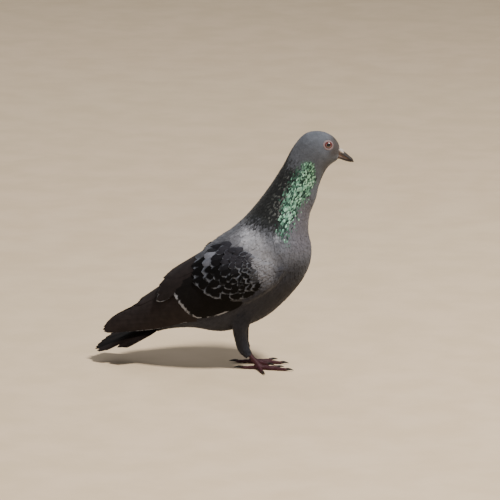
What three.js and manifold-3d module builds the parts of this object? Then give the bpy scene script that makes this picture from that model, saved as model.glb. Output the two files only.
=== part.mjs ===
// A feral rock pigeon standing alert, life size, in millimetres: +X is the way it faces, +Z is up, and
// the floor is z = 0. The head, neck and trunk are one loft between an upper and a lower outline, parted
// by thin gaps. The folded wings are shells of a wider loft, cut to the outline of each group of feathers.
import * as THREE from "three";
import { mergeVertices } from "three/addons/utils/BufferGeometryUtils.js";
import Module from "manifold-3d";

const wasm = await Module();
wasm.setup();

// ---------------------------------------------------------------- driving dimensions
const GAP = 0.3; // between neighbouring pieces
const BODY_SIDES = 20; // facets round the body and the wings
const LEG_SIDES = 8;
const ROWS_PER_STATION = 2;

// Stations of the body from the bill's root to the tail's: [x, z] on the upper and on the lower outline,
// half the width between them, and how far the widest place lies above the middle (-1 to 1).
const BODY = [
  { at: "face", top: [82.2, 226.4], bottom: [82.4, 215.6], half: 4.6, rise: 0 },
  { at: "lores", top: [81.2, 231.6], bottom: [78.6, 213.9], half: 8.7, rise: -0.05 },
  { at: "brow", top: [76, 238.8], bottom: [73.2, 209.8], half: 12.2, rise: -0.05 },
  { at: "crown", top: [63, 242.2], bottom: [68.4, 203.2], half: 14.2, rise: 0 },
  { at: "hind head", top: [47.5, 238.2], bottom: [64.4, 195.4], half: 14.6, rise: 0.05 },
  { at: "nape", top: [34.8, 224.2], bottom: [60.2, 185.2], half: 14.6, rise: 0 },
  { at: "upper neck", top: [24.2, 204.2], bottom: [56.6, 171.2], half: 16.5, rise: 0 },
  { at: "mid neck", top: [9, 180.4], bottom: [51.8, 155.6], half: 21.5, rise: 0 },
  { at: "neck base", top: [-8.5, 157.8], bottom: [50.4, 137.5], half: 29.5, rise: -0.05 },
  { at: "shoulder", top: [-26, 140.4], bottom: [53.6, 121.5], half: 36.5, rise: -0.05 },
  { at: "breast", top: [-43.5, 127.5], bottom: [51.5, 103.8], half: 38.5, rise: 0 },
  { at: "flank", top: [-60, 109], bottom: [38.5, 81], half: 38, rise: 0 },
  { at: "belly", top: [-76, 92], bottom: [8.5, 51.6], half: 34, rise: 0 },
  { at: "thighs", top: [-90, 74], bottom: [-30, 36.2], half: 27, rise: 0 },
  { at: "vent", top: [-101, 60], bottom: [-62, 38.5], half: 19.5, rise: 0 },
  { at: "tail root", top: [-112, 49], bottom: [-90, 35.8], half: 15, rise: 0 },
  { at: "tail coverts", top: [-126, 38], bottom: [-113, 27.5], half: 9, rise: 0 },
];
const HEAD_END = 5.3; // in stations: where the head ends and the neck begins
const NECK_END = 7.9;
const CUT = 0.03; // the gap's width in stations

// The hull of both folded wings in the same terms, as far as the ends of the tertials over the rump.
const WINGS = [
  { at: "wing front", top: [-8.5, 158.5], bottom: [51, 137], half: 29.5, rise: 0 },
  { at: "shoulder", top: [-26, 141.2], bottom: [54, 121.2], half: 37.4, rise: -0.03 },
  { at: "coverts", top: [-44, 130.4], bottom: [52.6, 102], half: 42.5, rise: 0 },
  { at: "mid wing", top: [-61, 115], bottom: [40, 78], half: 45.5, rise: 0.04 },
  { at: "secondaries", top: [-78, 102.3], bottom: [9, 49], half: 42.5, rise: 0.04 },
  { at: "tertials", top: [-92, 92.3], bottom: [-31, 32], half: 36.5, rise: 0 },
  { at: "rump", top: [-106, 82], bottom: [-63, 26], half: 29.5, rise: 0 },
  { at: "tertial ends", top: [-120, 72], bottom: [-100, 20], half: 22, rise: 0 },
];
// The long primaries lie lower, and run on to the wing tips.
const FLIGHT = [
  { at: "mid wing", top: [-61, 106], bottom: [40, 80], half: 42, rise: 0 },
  { at: "secondaries", top: [-78, 95], bottom: [9, 51], half: 39.5, rise: 0 },
  { at: "tertials", top: [-91, 84.5], bottom: [-31, 34], half: 34, rise: 0 },
  { at: "rump", top: [-104.5, 74.5], bottom: [-63, 28], half: 27, rise: 0 },
  { at: "primaries", top: [-122.5, 62.2], bottom: [-104, 19], half: 18.5, rise: -0.05 },
  { at: "wing tips", top: [-145.5, 49.4], bottom: [-138, 14], half: 10.5, rise: -0.05 },
  { at: "end", top: [-158.5, 37], bottom: [-159.5, 12], half: 6, rise: 0 },
];
// What each group of wing feathers covers, seen from the side: closed smooth outlines of [x, z].
const COVERTS = [
  [33, 106], [30, 128], [12, 165], [-62, 150], [-67, 112], [-60.5, 95], [-53, 81.5], [-39, 74.5],
  [-24, 71.5], [-6, 73], [7, 80], [23, 92],
];
const SECONDARIES = [
  [0, 100], [-40, 160], [-96, 130], [-99, 80], [-96, 66.5], [-89, 65], [-78, 72], [-69, 64.5],
  [-61, 54.5], [-49, 52], [-29, 58.5], [-8, 68],
];
const PRIMARIES = [
  [-40, 80], [-70, 130], [-130, 100], [-149, 47], [-155.5, 37], [-152, 31.6], [-124, 33.5],
  [-99, 37.2], [-72, 43.5], [-52, 50.5],
];
const MANTLE_HALF = 17; // half the width of the back between the wings, at the shoulders
const MANTLE_END = -72; // x where the wings meet over the back
const WING_STEP = 1.3; // each group of feathers lies this much below the one over it
const WING_SHELL = 6; // how deep the feathers of a folded wing are stacked

const TAIL = {
  root: [-90, 46],
  tip: [-163, 13.4],
  halfRoot: 15,
  halfTip: 25,
  droopRoot: 8,
  droopTip: 0.8,
  roll: 0.2, // how far the left edge is raised and the right lowered, against the half width
  thick: 2.2,
  short: [25, 23, 18, 7, 3, 0, 1, 3, 5, 8, 11, 15], // by feather from the right: short of the longest by
};

// The bill, in the terms of the body's stations.
const UPPER_BILL = [
  { top: [81.4, 226], bottom: [81.8, 219.4], half: 3.6 },
  { top: [87.8, 221.6], bottom: [87.6, 217.2], half: 3 },
  { top: [92.3, 217.9], bottom: [92.2, 214.9], half: 2.4 },
  { top: [95.4, 214.9], bottom: [94.9, 213], half: 1.6 },
  { top: [96.6, 212.2], bottom: [96.2, 211.5], half: 0.5 },
];
const LOWER_BILL = [
  { top: [81.8, 219], bottom: [82.4, 215.4], half: 3.2 },
  { top: [87.6, 216.8], bottom: [87.5, 213.8], half: 2.5 },
  { top: [92.1, 214.5], bottom: [91.9, 212.6], half: 1.8 },
  { top: [94.5, 212.8], bottom: [94.2, 212], half: 0.6 },
];
const CERE = { at: [84.6, 223.2], long: 4.2, wide: 3.5, high: 2.5, tilt: 40 };
const EYE = { at: [73.2, 230.9], radius: 5.5, out: 7.2 }; // out: its centre's distance from the midplane

// Each leg: the centre line of the feathered thigh, the bare tarsus, and the toes on the floor.
const LEGS = [
  {
    name: "right",
    side: -1,
    hip: [-8, 22, 66],
    knee: [-15, 19, 45],
    heel: [-15.5, 15, 25.5],
    foot: [2.5, 14, 4.2],
    toes: { 1: 180, 2: 22, 3: -6, 4: -68 }, // headings in degrees, anticlockwise from +X seen from above
  },
  {
    name: "left",
    side: 1,
    hip: [-8, 22, 66],
    knee: [-17, 16, 45],
    heel: [-19.5, 10.5, 25.5],
    foot: [-7, 11, 4.2],
    toes: { 1: 176, 2: -25, 3: 2, 4: 38 },
  },
];
const THIGH_RADII = [14, 8.4, 6.7, 6.1, 4.5];
const FEATHERED = 0.36; // the share of the tarsus that feathers cover
const TARSUS_RADII = [3.1, 2.3, 2.2, 2.9];
const TOE_LENGTH = { 1: 18, 2: 20, 3: 29.5, 4: 22 };
const TOE_RADIUS = 2.35;
const PAD = { long: 4.4, wide: 3.9, high: 3.1, ahead: 0.6, below: 1.4 }; // the ball of the foot
const TOE_DIP = 0.35; // how far the soles press into the floor's plane, which trims them flat
const CLAW = { length: 7.6, radius: 1.25, drop: 1.1 };

// ---------------------------------------------------------------- shapes
const clamp = (v, low, high) => Math.max(low, Math.min(high, v));

// The row at place t of a list of equal arrays, by a Catmull-Rom spline through them.
function between(rows, t) {
  const i = clamp(Math.floor(t), 0, rows.length - 2);
  const f = t - i;
  const [a, b, c, d] = [-1, 0, 1, 2].map((k) => rows[clamp(i + k, 0, rows.length - 1)]);
  return b.map((v, k) => {
    const slopeIn = (c[k] - a[k]) / 2;
    const slopeOut = (d[k] - v) / 2;
    const rise = c[k] - v;
    return v + f * (slopeIn + f * (3 * rise - 2 * slopeIn - slopeOut + f * (slopeIn + slopeOut - 2 * rise)));
  });
}

const asRow = (s) => [...s.top, ...s.bottom, s.half, s.rise ?? 0];

// A ring of points round the body at place t of the stations, grown outwards by grow.
function ringAt(rows, t, grow, sides) {
  const [topX, topZ, lowX, lowZ, half, rise] = between(rows, t);
  const axis = new THREE.Vector2(topX - lowX, topZ - lowZ);
  const reach = axis.length() / 2 + grow;
  axis.normalize();
  return Array.from({ length: sides }, (_, k) => {
    const angle = (2 * Math.PI * k) / sides;
    const out = Math.sin(angle);
    const up = (Math.cos(angle) + rise * out * out) * reach;
    return new THREE.Vector3(
      (topX + lowX) / 2 + axis.x * up,
      (half + grow) * out,
      (topZ + lowZ) / 2 + axis.y * up,
    );
  });
}

// A closed solid through rings of equal length, with a fan at each end.
function solidOfRings(rings) {
  const sides = rings[0].length;
  const points = rings.flat();
  const faces = [];
  for (let r = 0; r + 1 < rings.length; r++)
    for (let k = 0; k < sides; k++) {
      const a = r * sides + k;
      const b = r * sides + ((k + 1) % sides);
      faces.push(a, b, a + sides, b, b + sides, a + sides);
    }
  for (const [ring, first, flip] of [[rings[0], 0, true], [rings.at(-1), points.length - sides, false]]) {
    const middle = points.length;
    points.push(ring.reduce((sum, p) => sum.add(p), new THREE.Vector3()).divideScalar(sides));
    for (let k = 0; k < sides; k++) {
      const [a, b] = [first + k, first + ((k + 1) % sides)];
      faces.push(middle, ...(flip ? [b, a] : [a, b]));
    }
  }
  return solidOf(points, faces);
}

function solidOf(points, faces) {
  const vertProperties = new Float32Array(points.flatMap((p) => [p.x, p.y, p.z]));
  const volume = faces.reduce((sum, _, i) => {
    if (i % 3) return sum;
    const [a, b, c] = [0, 1, 2].map((k) => points[faces[i + k]]);
    return sum + a.dot(new THREE.Vector3().crossVectors(b, c));
  }, 0);
  const triVerts = new Uint32Array(faces);
  if (volume < 0)
    for (let i = 0; i < triVerts.length; i += 3)
      [triVerts[i + 1], triVerts[i + 2]] = [triVerts[i + 2], triVerts[i + 1]];
  return new wasm.Manifold(new wasm.Mesh({ numProp: 3, vertProperties, triVerts }));
}

function solidOfGeometry(geometry) {
  geometry.deleteAttribute("normal");
  geometry.deleteAttribute("uv");
  const merged = mergeVertices(geometry, 1e-4);
  const position = merged.getAttribute("position");
  const points = Array.from({ length: position.count }, (_, i) =>
    new THREE.Vector3().fromBufferAttribute(position, i),
  );
  return solidOf(points, [...merged.index.array]);
}

// The loft through stations, from place `from` to place `to`.
function loft(stations, { from = 0, to = stations.length - 1, grow = 0, sides = BODY_SIDES } = {}) {
  const rows = stations.map(asRow);
  const steps = Math.ceil((to - from) * ROWS_PER_STATION);
  return solidOfRings(
    Array.from({ length: steps + 1 }, (_, i) => ringAt(rows, from + ((to - from) * i) / steps, grow, sides)),
  );
}

// A round tube along [x, y, z] points with a radius for each.
function tube(path, radii, { steps = 3, sides = LEG_SIDES, grow = 0 } = {}) {
  const rows = path.map((p, i) => [...p, radii[i]]);
  const count = (path.length - 1) * steps;
  const centres = Array.from({ length: count + 1 }, (_, i) => between(rows, i / steps));
  const places = centres.map((c) => new THREE.Vector3(c[0], c[1], c[2]));
  const rings = places.map((place, i) => {
    const ahead = places[Math.min(i + 1, count)].clone().sub(places[Math.max(i - 1, 0)]).normalize();
    const across = new THREE.Vector3(-ahead.z * 0.02, 1, 0).cross(ahead).cross(ahead).normalize();
    const hint = Math.abs(ahead.z) > 0.5 ? across : new THREE.Vector3(0, 0, 1).cross(ahead).normalize();
    const other = new THREE.Vector3().crossVectors(ahead, hint).normalize();
    return Array.from({ length: sides }, (_, k) => {
      const angle = (2 * Math.PI * (k + 0.5)) / sides;
      const radius = centres[i][3] + grow;
      return place
        .clone()
        .addScaledVector(hint, radius * Math.cos(angle))
        .addScaledVector(other, radius * Math.sin(angle));
    });
  });
  return solidOfRings(rings);
}

// A prism along Y over a smooth closed outline of [x, z], between two values of y.
function sidePrism(outline, low, high, grow = 0) {
  const curve = new THREE.SplineCurve([...outline, outline[0]].map((p) => new THREE.Vector2(...p)));
  const points = curve.getPoints(outline.length * 3).slice(0, -1);
  const turned = THREE.ShapeUtils.area(points) > 0 ? 1 : -1;
  const moved = points.map((p, i) => {
    const along = points[(i + 1) % points.length].clone().sub(points.at(i - 1)).normalize();
    return new THREE.Vector2(p.x + along.y * grow * turned, p.y - along.x * grow * turned);
  });
  return prism(moved, high - low, (g) => g.rotateX(Math.PI / 2).translate(0, high, 0));
}

function prism(points, depth, place) {
  const geometry = new THREE.ExtrudeGeometry(new THREE.Shape(points), { depth, bevelEnabled: false });
  place(geometry);
  return solidOfGeometry(geometry);
}

// The largest body of a solid: a cut can leave crumbs.
const largest = (solid) => solid.decompose().sort((a, b) => b.volume() - a.volume())[0];
const cutBy = (solid, ...others) => others.reduce((left, other) => left.subtract(other), solid);

const bird = new THREE.Group();

function add(name, solid, [colour, roughness]) {
  const mesh = largest(solid).getMesh();
  const geometry = new THREE.BufferGeometry();
  geometry.setAttribute("position", new THREE.BufferAttribute(new Float32Array(mesh.vertProperties), 3));
  geometry.setIndex(new THREE.BufferAttribute(new Uint32Array(mesh.triVerts), 1));
  const material = new THREE.MeshStandardMaterial({ color: colour, roughness, metalness: 0 });
  const made = new THREE.Mesh(geometry, material);
  made.name = name;
  bird.add(made);
}

const HEAD_GREY = [0x6b6e78, 0.8];
const NECK_GREEN = [0x3f7a63, 0.5];
const BODY_GREY = [0x66656a, 0.85];
const CHECKED = [0x2b2a2f, 0.8];
const FLIGHT_BROWN = [0x3b3536, 0.75];
const TAIL_DARK = [0x2a2728, 0.8];
const HORN = [0x4a4039, 0.45];
const CERE_WHITE = [0xd9d2cb, 0.8];
const IRIS = [0xb4502a, 0.1];
const LEG_RED = [0x9c4450, 0.6];
const CLAW_DARK = [0x221e1e, 0.4];

// ---------------------------------------------------------------- head, neck and trunk
function eyeball(side, grow = 0) {
  const ball = new THREE.SphereGeometry(EYE.radius + grow, 14, 8);
  ball.translate(EYE.at[0], side * EYE.out, EYE.at[1]);
  return solidOfGeometry(ball);
}

const trunkHull = loft(BODY, { from: NECK_END - 1, grow: GAP });
const headHull = loft(BODY, { to: HEAD_END, grow: GAP });

add("head", cutBy(loft(BODY, { to: HEAD_END }), eyeball(-1, GAP), eyeball(1, GAP)), HEAD_GREY);
add("neck", loft(BODY, { from: HEAD_END + CUT, to: NECK_END }), NECK_GREEN);
add("trunk", loft(BODY, { from: NECK_END + CUT }), BODY_GREY);
add("eye_right", eyeball(-1), IRIS);
add("eye_left", eyeball(1), IRIS);

// ---------------------------------------------------------------- bill
add("bill_upper", cutBy(loft(UPPER_BILL, { sides: 12 }), headHull), HORN);
add("bill_lower", cutBy(loft(LOWER_BILL, { sides: 12 }), headHull), HORN);
const cereBall = new THREE.SphereGeometry(1, 10, 7).scale(CERE.long, CERE.wide, CERE.high);
cereBall.rotateY(THREE.MathUtils.degToRad(CERE.tilt)).translate(CERE.at[0], 0, CERE.at[1]);
const billHull = loft(UPPER_BILL, { sides: 12, grow: GAP });
add("cere", cutBy(solidOfGeometry(cereBall), headHull, billHull), CERE_WHITE);

// ---------------------------------------------------------------- tail
// A thin arched plate whose end follows the rounded tips of the tail feathers.
function tailPlate(grow = 0) {
  const across = 12;
  const lengthwise = 5;
  const place = (u, v, lift) => {
    const half = THREE.MathUtils.lerp(TAIL.halfRoot, TAIL.halfTip, u) + grow;
    const droop = THREE.MathUtils.lerp(TAIL.droopRoot, TAIL.droopTip, u);
    return new THREE.Vector3(
      THREE.MathUtils.lerp(TAIL.root[0], TAIL.tip[0] - 2 * grow, u),
      half * v,
      THREE.MathUtils.lerp(TAIL.root[1], TAIL.tip[1], u) - droop * v * v + TAIL.roll * half * v * u + lift,
    );
  };
  const rings = Array.from({ length: lengthwise + 1 }, (_, i) => {
    const row = Array.from({ length: across + 1 }, (_, j) => (2 * j) / across - 1);
    const thin = (v) => (TAIL.thick / 2) * (1 - 0.5 * v * v) + grow;
    const over = row.map((v) => place(i / lengthwise, v, thin(v)));
    const under = row.map((v) => place(i / lengthwise, v, -thin(v)));
    return { over, under };
  });
  const points = rings.flatMap((r) => [...r.over, ...r.under]);
  const stride = 2 * (across + 1);
  const faces = [];
  const quad = (a, b, c, d) => faces.push(a, b, c, a, c, d);
  for (let i = 0; i < lengthwise; i++)
    for (let j = 0; j < across; j++) {
      const a = i * stride + j;
      const below = a + across + 1;
      quad(a, a + 1, a + 1 + stride, a + stride);
      quad(below, below + stride, below + 1 + stride, below + 1);
    }
  for (let i = 0; i < lengthwise; i++)
    for (const [j, flip] of [[0, false], [across, true]]) {
      const a = i * stride + j;
      const corners = [a, a + stride, a + stride + across + 1, a + across + 1];
      quad(...(flip ? corners.reverse() : corners));
    }
  for (const [i, flip] of [[0, false], [lengthwise, true]])
    for (let j = 0; j < across; j++) {
      const a = i * stride + j;
      const corners = [a, a + across + 1, a + across + 2, a + 1];
      quad(...(flip ? corners.reverse() : corners));
    }
  return solidOf(points, faces);
}

// The tail's outline from above: straight sides and a round end with one scallop for each feather.
function tailOutline() {
  const points = [new THREE.Vector2(TAIL.root[0] + 10, -40), new THREE.Vector2(TAIL.root[0] + 10, 40)];
  const perFeather = 4;
  const width = (2 * (TAIL.halfTip + 1.5)) / TAIL.short.length;
  for (let f = TAIL.short.length - 1; f >= 0; f--)
    for (let i = 0; i <= perFeather; i++) {
      const across = 1 - i / perFeather;
      const round = 2.4 * (1 - Math.sin(Math.PI * across));
      const y = (f + across) * width - TAIL.halfTip - 1.5;
      points.push(new THREE.Vector2(TAIL.tip[0] + TAIL.short[f] + round, y + (i ? 0 : -0.02)));
    }
  return points;
}
const tailPrism = prism(tailOutline(), 200, (g) => g.translate(0, 0, -60));
const tail = tailPlate().intersect(tailPrism);
add("tail", cutBy(tail, trunkHull), TAIL_DARK);
const tailHull = tailPlate(GAP);

// ---------------------------------------------------------------- wings
// A wedge over the back, from above: it keeps the mantle free between the wings.
const mantleWedge = prism(
  [
    new THREE.Vector2(60, -MANTLE_HALF - 9),
    new THREE.Vector2(60, MANTLE_HALF + 9),
    new THREE.Vector2(0, MANTLE_HALF),
    new THREE.Vector2(MANTLE_END, GAP / 2),
    new THREE.Vector2(-200, GAP / 2),
    new THREE.Vector2(-200, -GAP / 2),
    new THREE.Vector2(MANTLE_END, -GAP / 2),
    new THREE.Vector2(0, -MANTLE_HALF),
  ],
  300,
  (g) => g.translate(0, 0, -20),
);

const wingCore = loft(WINGS, { grow: -WING_SHELL });
const flightCore = loft(FLIGHT, { grow: -WING_SHELL });
for (const [name, side] of [["right", -1], ["left", 1]]) {
  const [low, high] = side < 0 ? [-80, 0] : [0, 80];
  const group = (hull, outline, ...over) =>
    cutBy(
      hull.intersect(sidePrism(outline, low, high)),
      trunkHull,
      mantleWedge,
      ...over.map((o) => sidePrism(o, low - 1, high + 1, GAP)),
    );
  const coverts = group(loft(WINGS), COVERTS);
  const secondaries = group(loft(WINGS, { grow: -WING_STEP }), SECONDARIES, COVERTS);
  const primaries = group(loft(FLIGHT), PRIMARIES, COVERTS, SECONDARIES);
  add(`wing_${name}_coverts`, coverts, CHECKED);
  add(`wing_${name}_secondaries`, cutBy(secondaries, wingCore), FLIGHT_BROWN);
  add(`wing_${name}_primaries`, cutBy(primaries, flightCore, tailHull), FLIGHT_BROWN);
}

// ---------------------------------------------------------------- legs and feet
const lerp3 = (a, b, t) => a.map((v, i) => v + (b[i] - v) * t);
const floorBlock = solidOfGeometry(new THREE.BoxGeometry(400, 400, 40).translate(0, 0, -20));
const wingHull = loft(WINGS, { grow: GAP - WING_STEP })
  .intersect(sidePrism(SECONDARIES, -80, 80, GAP))
  .subtract(loft(WINGS, { grow: -WING_SHELL - GAP }));

for (const leg of LEGS) {
  const onSide = ([x, y, z]) => [x, y * leg.side, z];
  const [hip, knee, heel, foot] = [leg.hip, leg.knee, leg.heel, leg.foot].map(onSide);
  const cuff = lerp3(heel, foot, FEATHERED);
  const thighPath = [hip, knee, lerp3(knee, heel, 0.62), lerp3(heel, foot, 0.04), cuff];
  const thigh = tube(thighPath, THIGH_RADII);
  add(`thigh_${leg.name}`, cutBy(thigh, trunkHull, wingHull), BODY_GREY);

  const tarsusPath = [lerp3(heel, foot, 0.2), cuff, lerp3(heel, foot, 0.7), foot];
  const thighHull = tube(thighPath, THIGH_RADII, { grow: GAP });
  const tarsus = (grow) => tube(tarsusPath, TARSUS_RADII, { grow });

  // The ball of the foot, then each toe, cut clear of the ball and of the middle toe.
  const pad = (grow) =>
    solidOfGeometry(
      new THREE.SphereGeometry(1, 10, 7)
        .scale(PAD.long + grow, PAD.wide + grow, PAD.high + grow)
        .translate(foot[0] + PAD.ahead, foot[1], foot[2] - PAD.below),
    );
  add(`tarsus_${leg.name}`, cutBy(tarsus(0), thighHull, pad(GAP)), LEG_RED);
  add(`foot_pad_${leg.name}`, cutBy(pad(0), floorBlock), LEG_RED);

  const toeLine = (digit, from, to, height) => {
    const heading = THREE.MathUtils.degToRad(leg.toes[digit]);
    const at = (r, z) => [foot[0] + r * Math.cos(heading), foot[1] + r * Math.sin(heading), z];
    return [at(from, height[0]), at((from + to) / 2, height[1]), at(to, height[2])];
  };
  const sole = TOE_RADIUS - TOE_DIP;
  const toe = (digit, grow) => {
    const scale = digit === "3" ? 1 : 0.9;
    const radii = [TOE_RADIUS, TOE_RADIUS * 0.88, TOE_RADIUS * 0.74].map((r) => r * scale);
    const line = toeLine(digit, 1.5, TOE_LENGTH[digit], [sole + 0.4, radii[1] - TOE_DIP, radii[2] - TOE_DIP]);
    return tube(line, radii, { sides: 8, grow, steps: 2 });
  };
  const claw = (digit) => {
    const end = TOE_LENGTH[digit];
    const low = TOE_RADIUS * 0.7;
    const line = toeLine(digit, end - 1.5, end + CLAW.length, [low, low + 0.5, low - CLAW.drop]);
    return tube(line, [CLAW.radius * 1.1, CLAW.radius * 0.8, 0.3], { sides: 6, steps: 2 });
  };
  for (const digit of ["3", "2", "4", "1"]) {
    const beside = digit === "3" ? [] : [toe("3", GAP)];
    const shared = [pad(GAP), tarsus(GAP), floorBlock, ...beside];
    add(`toe_${leg.name}_${digit}`, cutBy(toe(digit, 0), ...shared), LEG_RED);
    add(`claw_${leg.name}_${digit}`, cutBy(claw(digit), toe(digit, GAP), floorBlock), CLAW_DARK);
  }
}

// The frame's origin is under the middle of the bird's box, on the floor.
const box = new THREE.Box3().setFromObject(bird);
bird.position.set(-(box.min.x + box.max.x) / 2, -(box.min.y + box.max.y) / 2, -box.min.z);
bird.updateMatrixWorld(true);

export default bird;
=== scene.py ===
import math

import bmesh
import bpy
import numpy as np
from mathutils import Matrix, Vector
from mathutils.bvhtree import BVHTree
from mathutils.kdtree import KDTree


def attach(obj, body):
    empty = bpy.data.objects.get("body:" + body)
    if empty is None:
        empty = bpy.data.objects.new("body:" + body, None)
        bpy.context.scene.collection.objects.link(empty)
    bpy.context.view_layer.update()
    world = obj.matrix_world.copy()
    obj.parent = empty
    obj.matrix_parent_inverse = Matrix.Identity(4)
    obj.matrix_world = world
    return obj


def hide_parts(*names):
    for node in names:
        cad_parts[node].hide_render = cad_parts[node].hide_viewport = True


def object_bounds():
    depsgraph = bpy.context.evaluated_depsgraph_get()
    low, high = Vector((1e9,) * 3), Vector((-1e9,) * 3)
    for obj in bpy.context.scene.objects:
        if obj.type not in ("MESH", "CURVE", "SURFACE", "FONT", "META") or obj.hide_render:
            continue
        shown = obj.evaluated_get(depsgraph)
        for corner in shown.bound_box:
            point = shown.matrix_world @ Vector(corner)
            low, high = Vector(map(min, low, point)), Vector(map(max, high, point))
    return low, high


bl_info = {
    "name": "Rock pigeon",
    "version": (1, 0, 0),
    "blender": (4, 5, 0),
    "location": "3D View > Sidebar > Pigeon",
    "description": "A feral rock pigeon: skin, plumage, bill, eyes and feet over the solids of the frame",
    "category": "Object",
}

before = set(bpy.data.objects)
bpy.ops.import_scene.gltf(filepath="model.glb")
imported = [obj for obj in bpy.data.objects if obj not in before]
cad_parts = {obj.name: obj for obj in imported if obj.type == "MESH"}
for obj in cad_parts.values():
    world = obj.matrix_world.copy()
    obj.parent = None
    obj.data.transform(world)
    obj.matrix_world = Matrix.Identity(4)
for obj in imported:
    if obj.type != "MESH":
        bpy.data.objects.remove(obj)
CAD_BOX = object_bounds()

MM = 0.001
SIDES = {"right": -1, "left": 1}
SEED = 20

# ------------------------------------------------------------------ the bird's own coordinates
# Stations from the bill's root to the tail's, in millimetres: x and z on the upper outline, x and z on
# the lower one, half the width between them, and how far the widest place lies above the middle.
# Their x = 0 lies between the feet, this far behind the bill's tip.
BILL_TIP_X = 96.6
BODY = [
    (81.3, 225.6, 81.3, 213.9, 4.5, 0),
    (79.1, 230.6, 78, 211.3, 8.5, -0.05),
    (73.3, 236.9, 72.8, 207.7, 12.1, -0.05),
    (61.4, 241, 68.4, 202.7, 14.2, 0),
    (46.9, 238, 64.6, 195.2, 14.6, 0.05),
    (34.8, 224.2, 60.9, 185.2, 14.6, 0),
    (24.2, 204.2, 57.6, 170.8, 16.5, 0),
    (9, 180.4, 51.8, 155.6, 21.5, 0),
    (-8.5, 157.8, 50.4, 137.5, 29.5, -0.05),
    (-26, 140.4, 53.6, 121.5, 36.5, -0.05),
    (-43.5, 127.5, 51.5, 103.8, 38.5, 0),
    (-60, 109, 38.5, 81, 38, 0),
    (-76, 92, 8.5, 51.6, 34, 0),
    (-90, 74, -30, 36.2, 27, 0),
    (-101, 60, -62, 38.5, 19.5, 0),
    (-112, 49, -90, 35.8, 15, 0),
    (-126, 38, -113, 27.5, 9, 0),
]
WINGS = [
    (-8.5, 158.5, 51, 137, 29.5, 0),
    (-26, 141.2, 54, 121.2, 37.4, -0.03),
    (-44, 130.4, 52.6, 102, 42.5, 0),
    (-61, 115, 40, 78, 45.5, 0.04),
    (-78, 102.3, 9, 49, 42.5, 0.04),
    (-92, 92.3, -31, 32, 36.5, 0),
    (-106, 82, -63, 26, 29.5, 0),
    (-120, 72, -100, 20, 22, 0),
]
FLIGHT = [
    (-61, 106, 40, 80, 42, 0),
    (-78, 95, 9, 51, 39.5, 0),
    (-91, 84.5, -31, 34, 34, 0),
    (-104.5, 74.5, -63, 28, 27, 0),
    (-122.5, 62.2, -104, 19, 18.5, -0.05),
    (-145.5, 49.4, -138, 14, 10.5, -0.05),
    (-158.5, 37, -159.5, 12, 6, 0),
]
ORIGIN_X = CAD_BOX[1].x - BILL_TIP_X * MM


def between(rows, t):
    """Rows of a table at places t, by a Catmull-Rom spline through them."""
    rows = np.asarray(rows, float)
    t = np.clip(np.asarray(t, float), 0, len(rows) - 1)
    i = np.minimum(t.astype(int), len(rows) - 2)
    f = (t - i)[..., None]
    a, b, c, d = (rows[np.clip(i + k, 0, len(rows) - 1)] for k in (-1, 0, 1, 2))
    slope_in, slope_out, rise = (c - a) / 2, (d - b) / 2, c - b
    square = 3 * rise - 2 * slope_in - slope_out
    cube = slope_in + slope_out - 2 * rise
    return b + f * (slope_in + f * (square + f * cube))


def along_table(rows, count):
    """A smooth line of so many points through a table of places."""
    return between(rows, np.linspace(0, len(rows) - 1, count))


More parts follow.
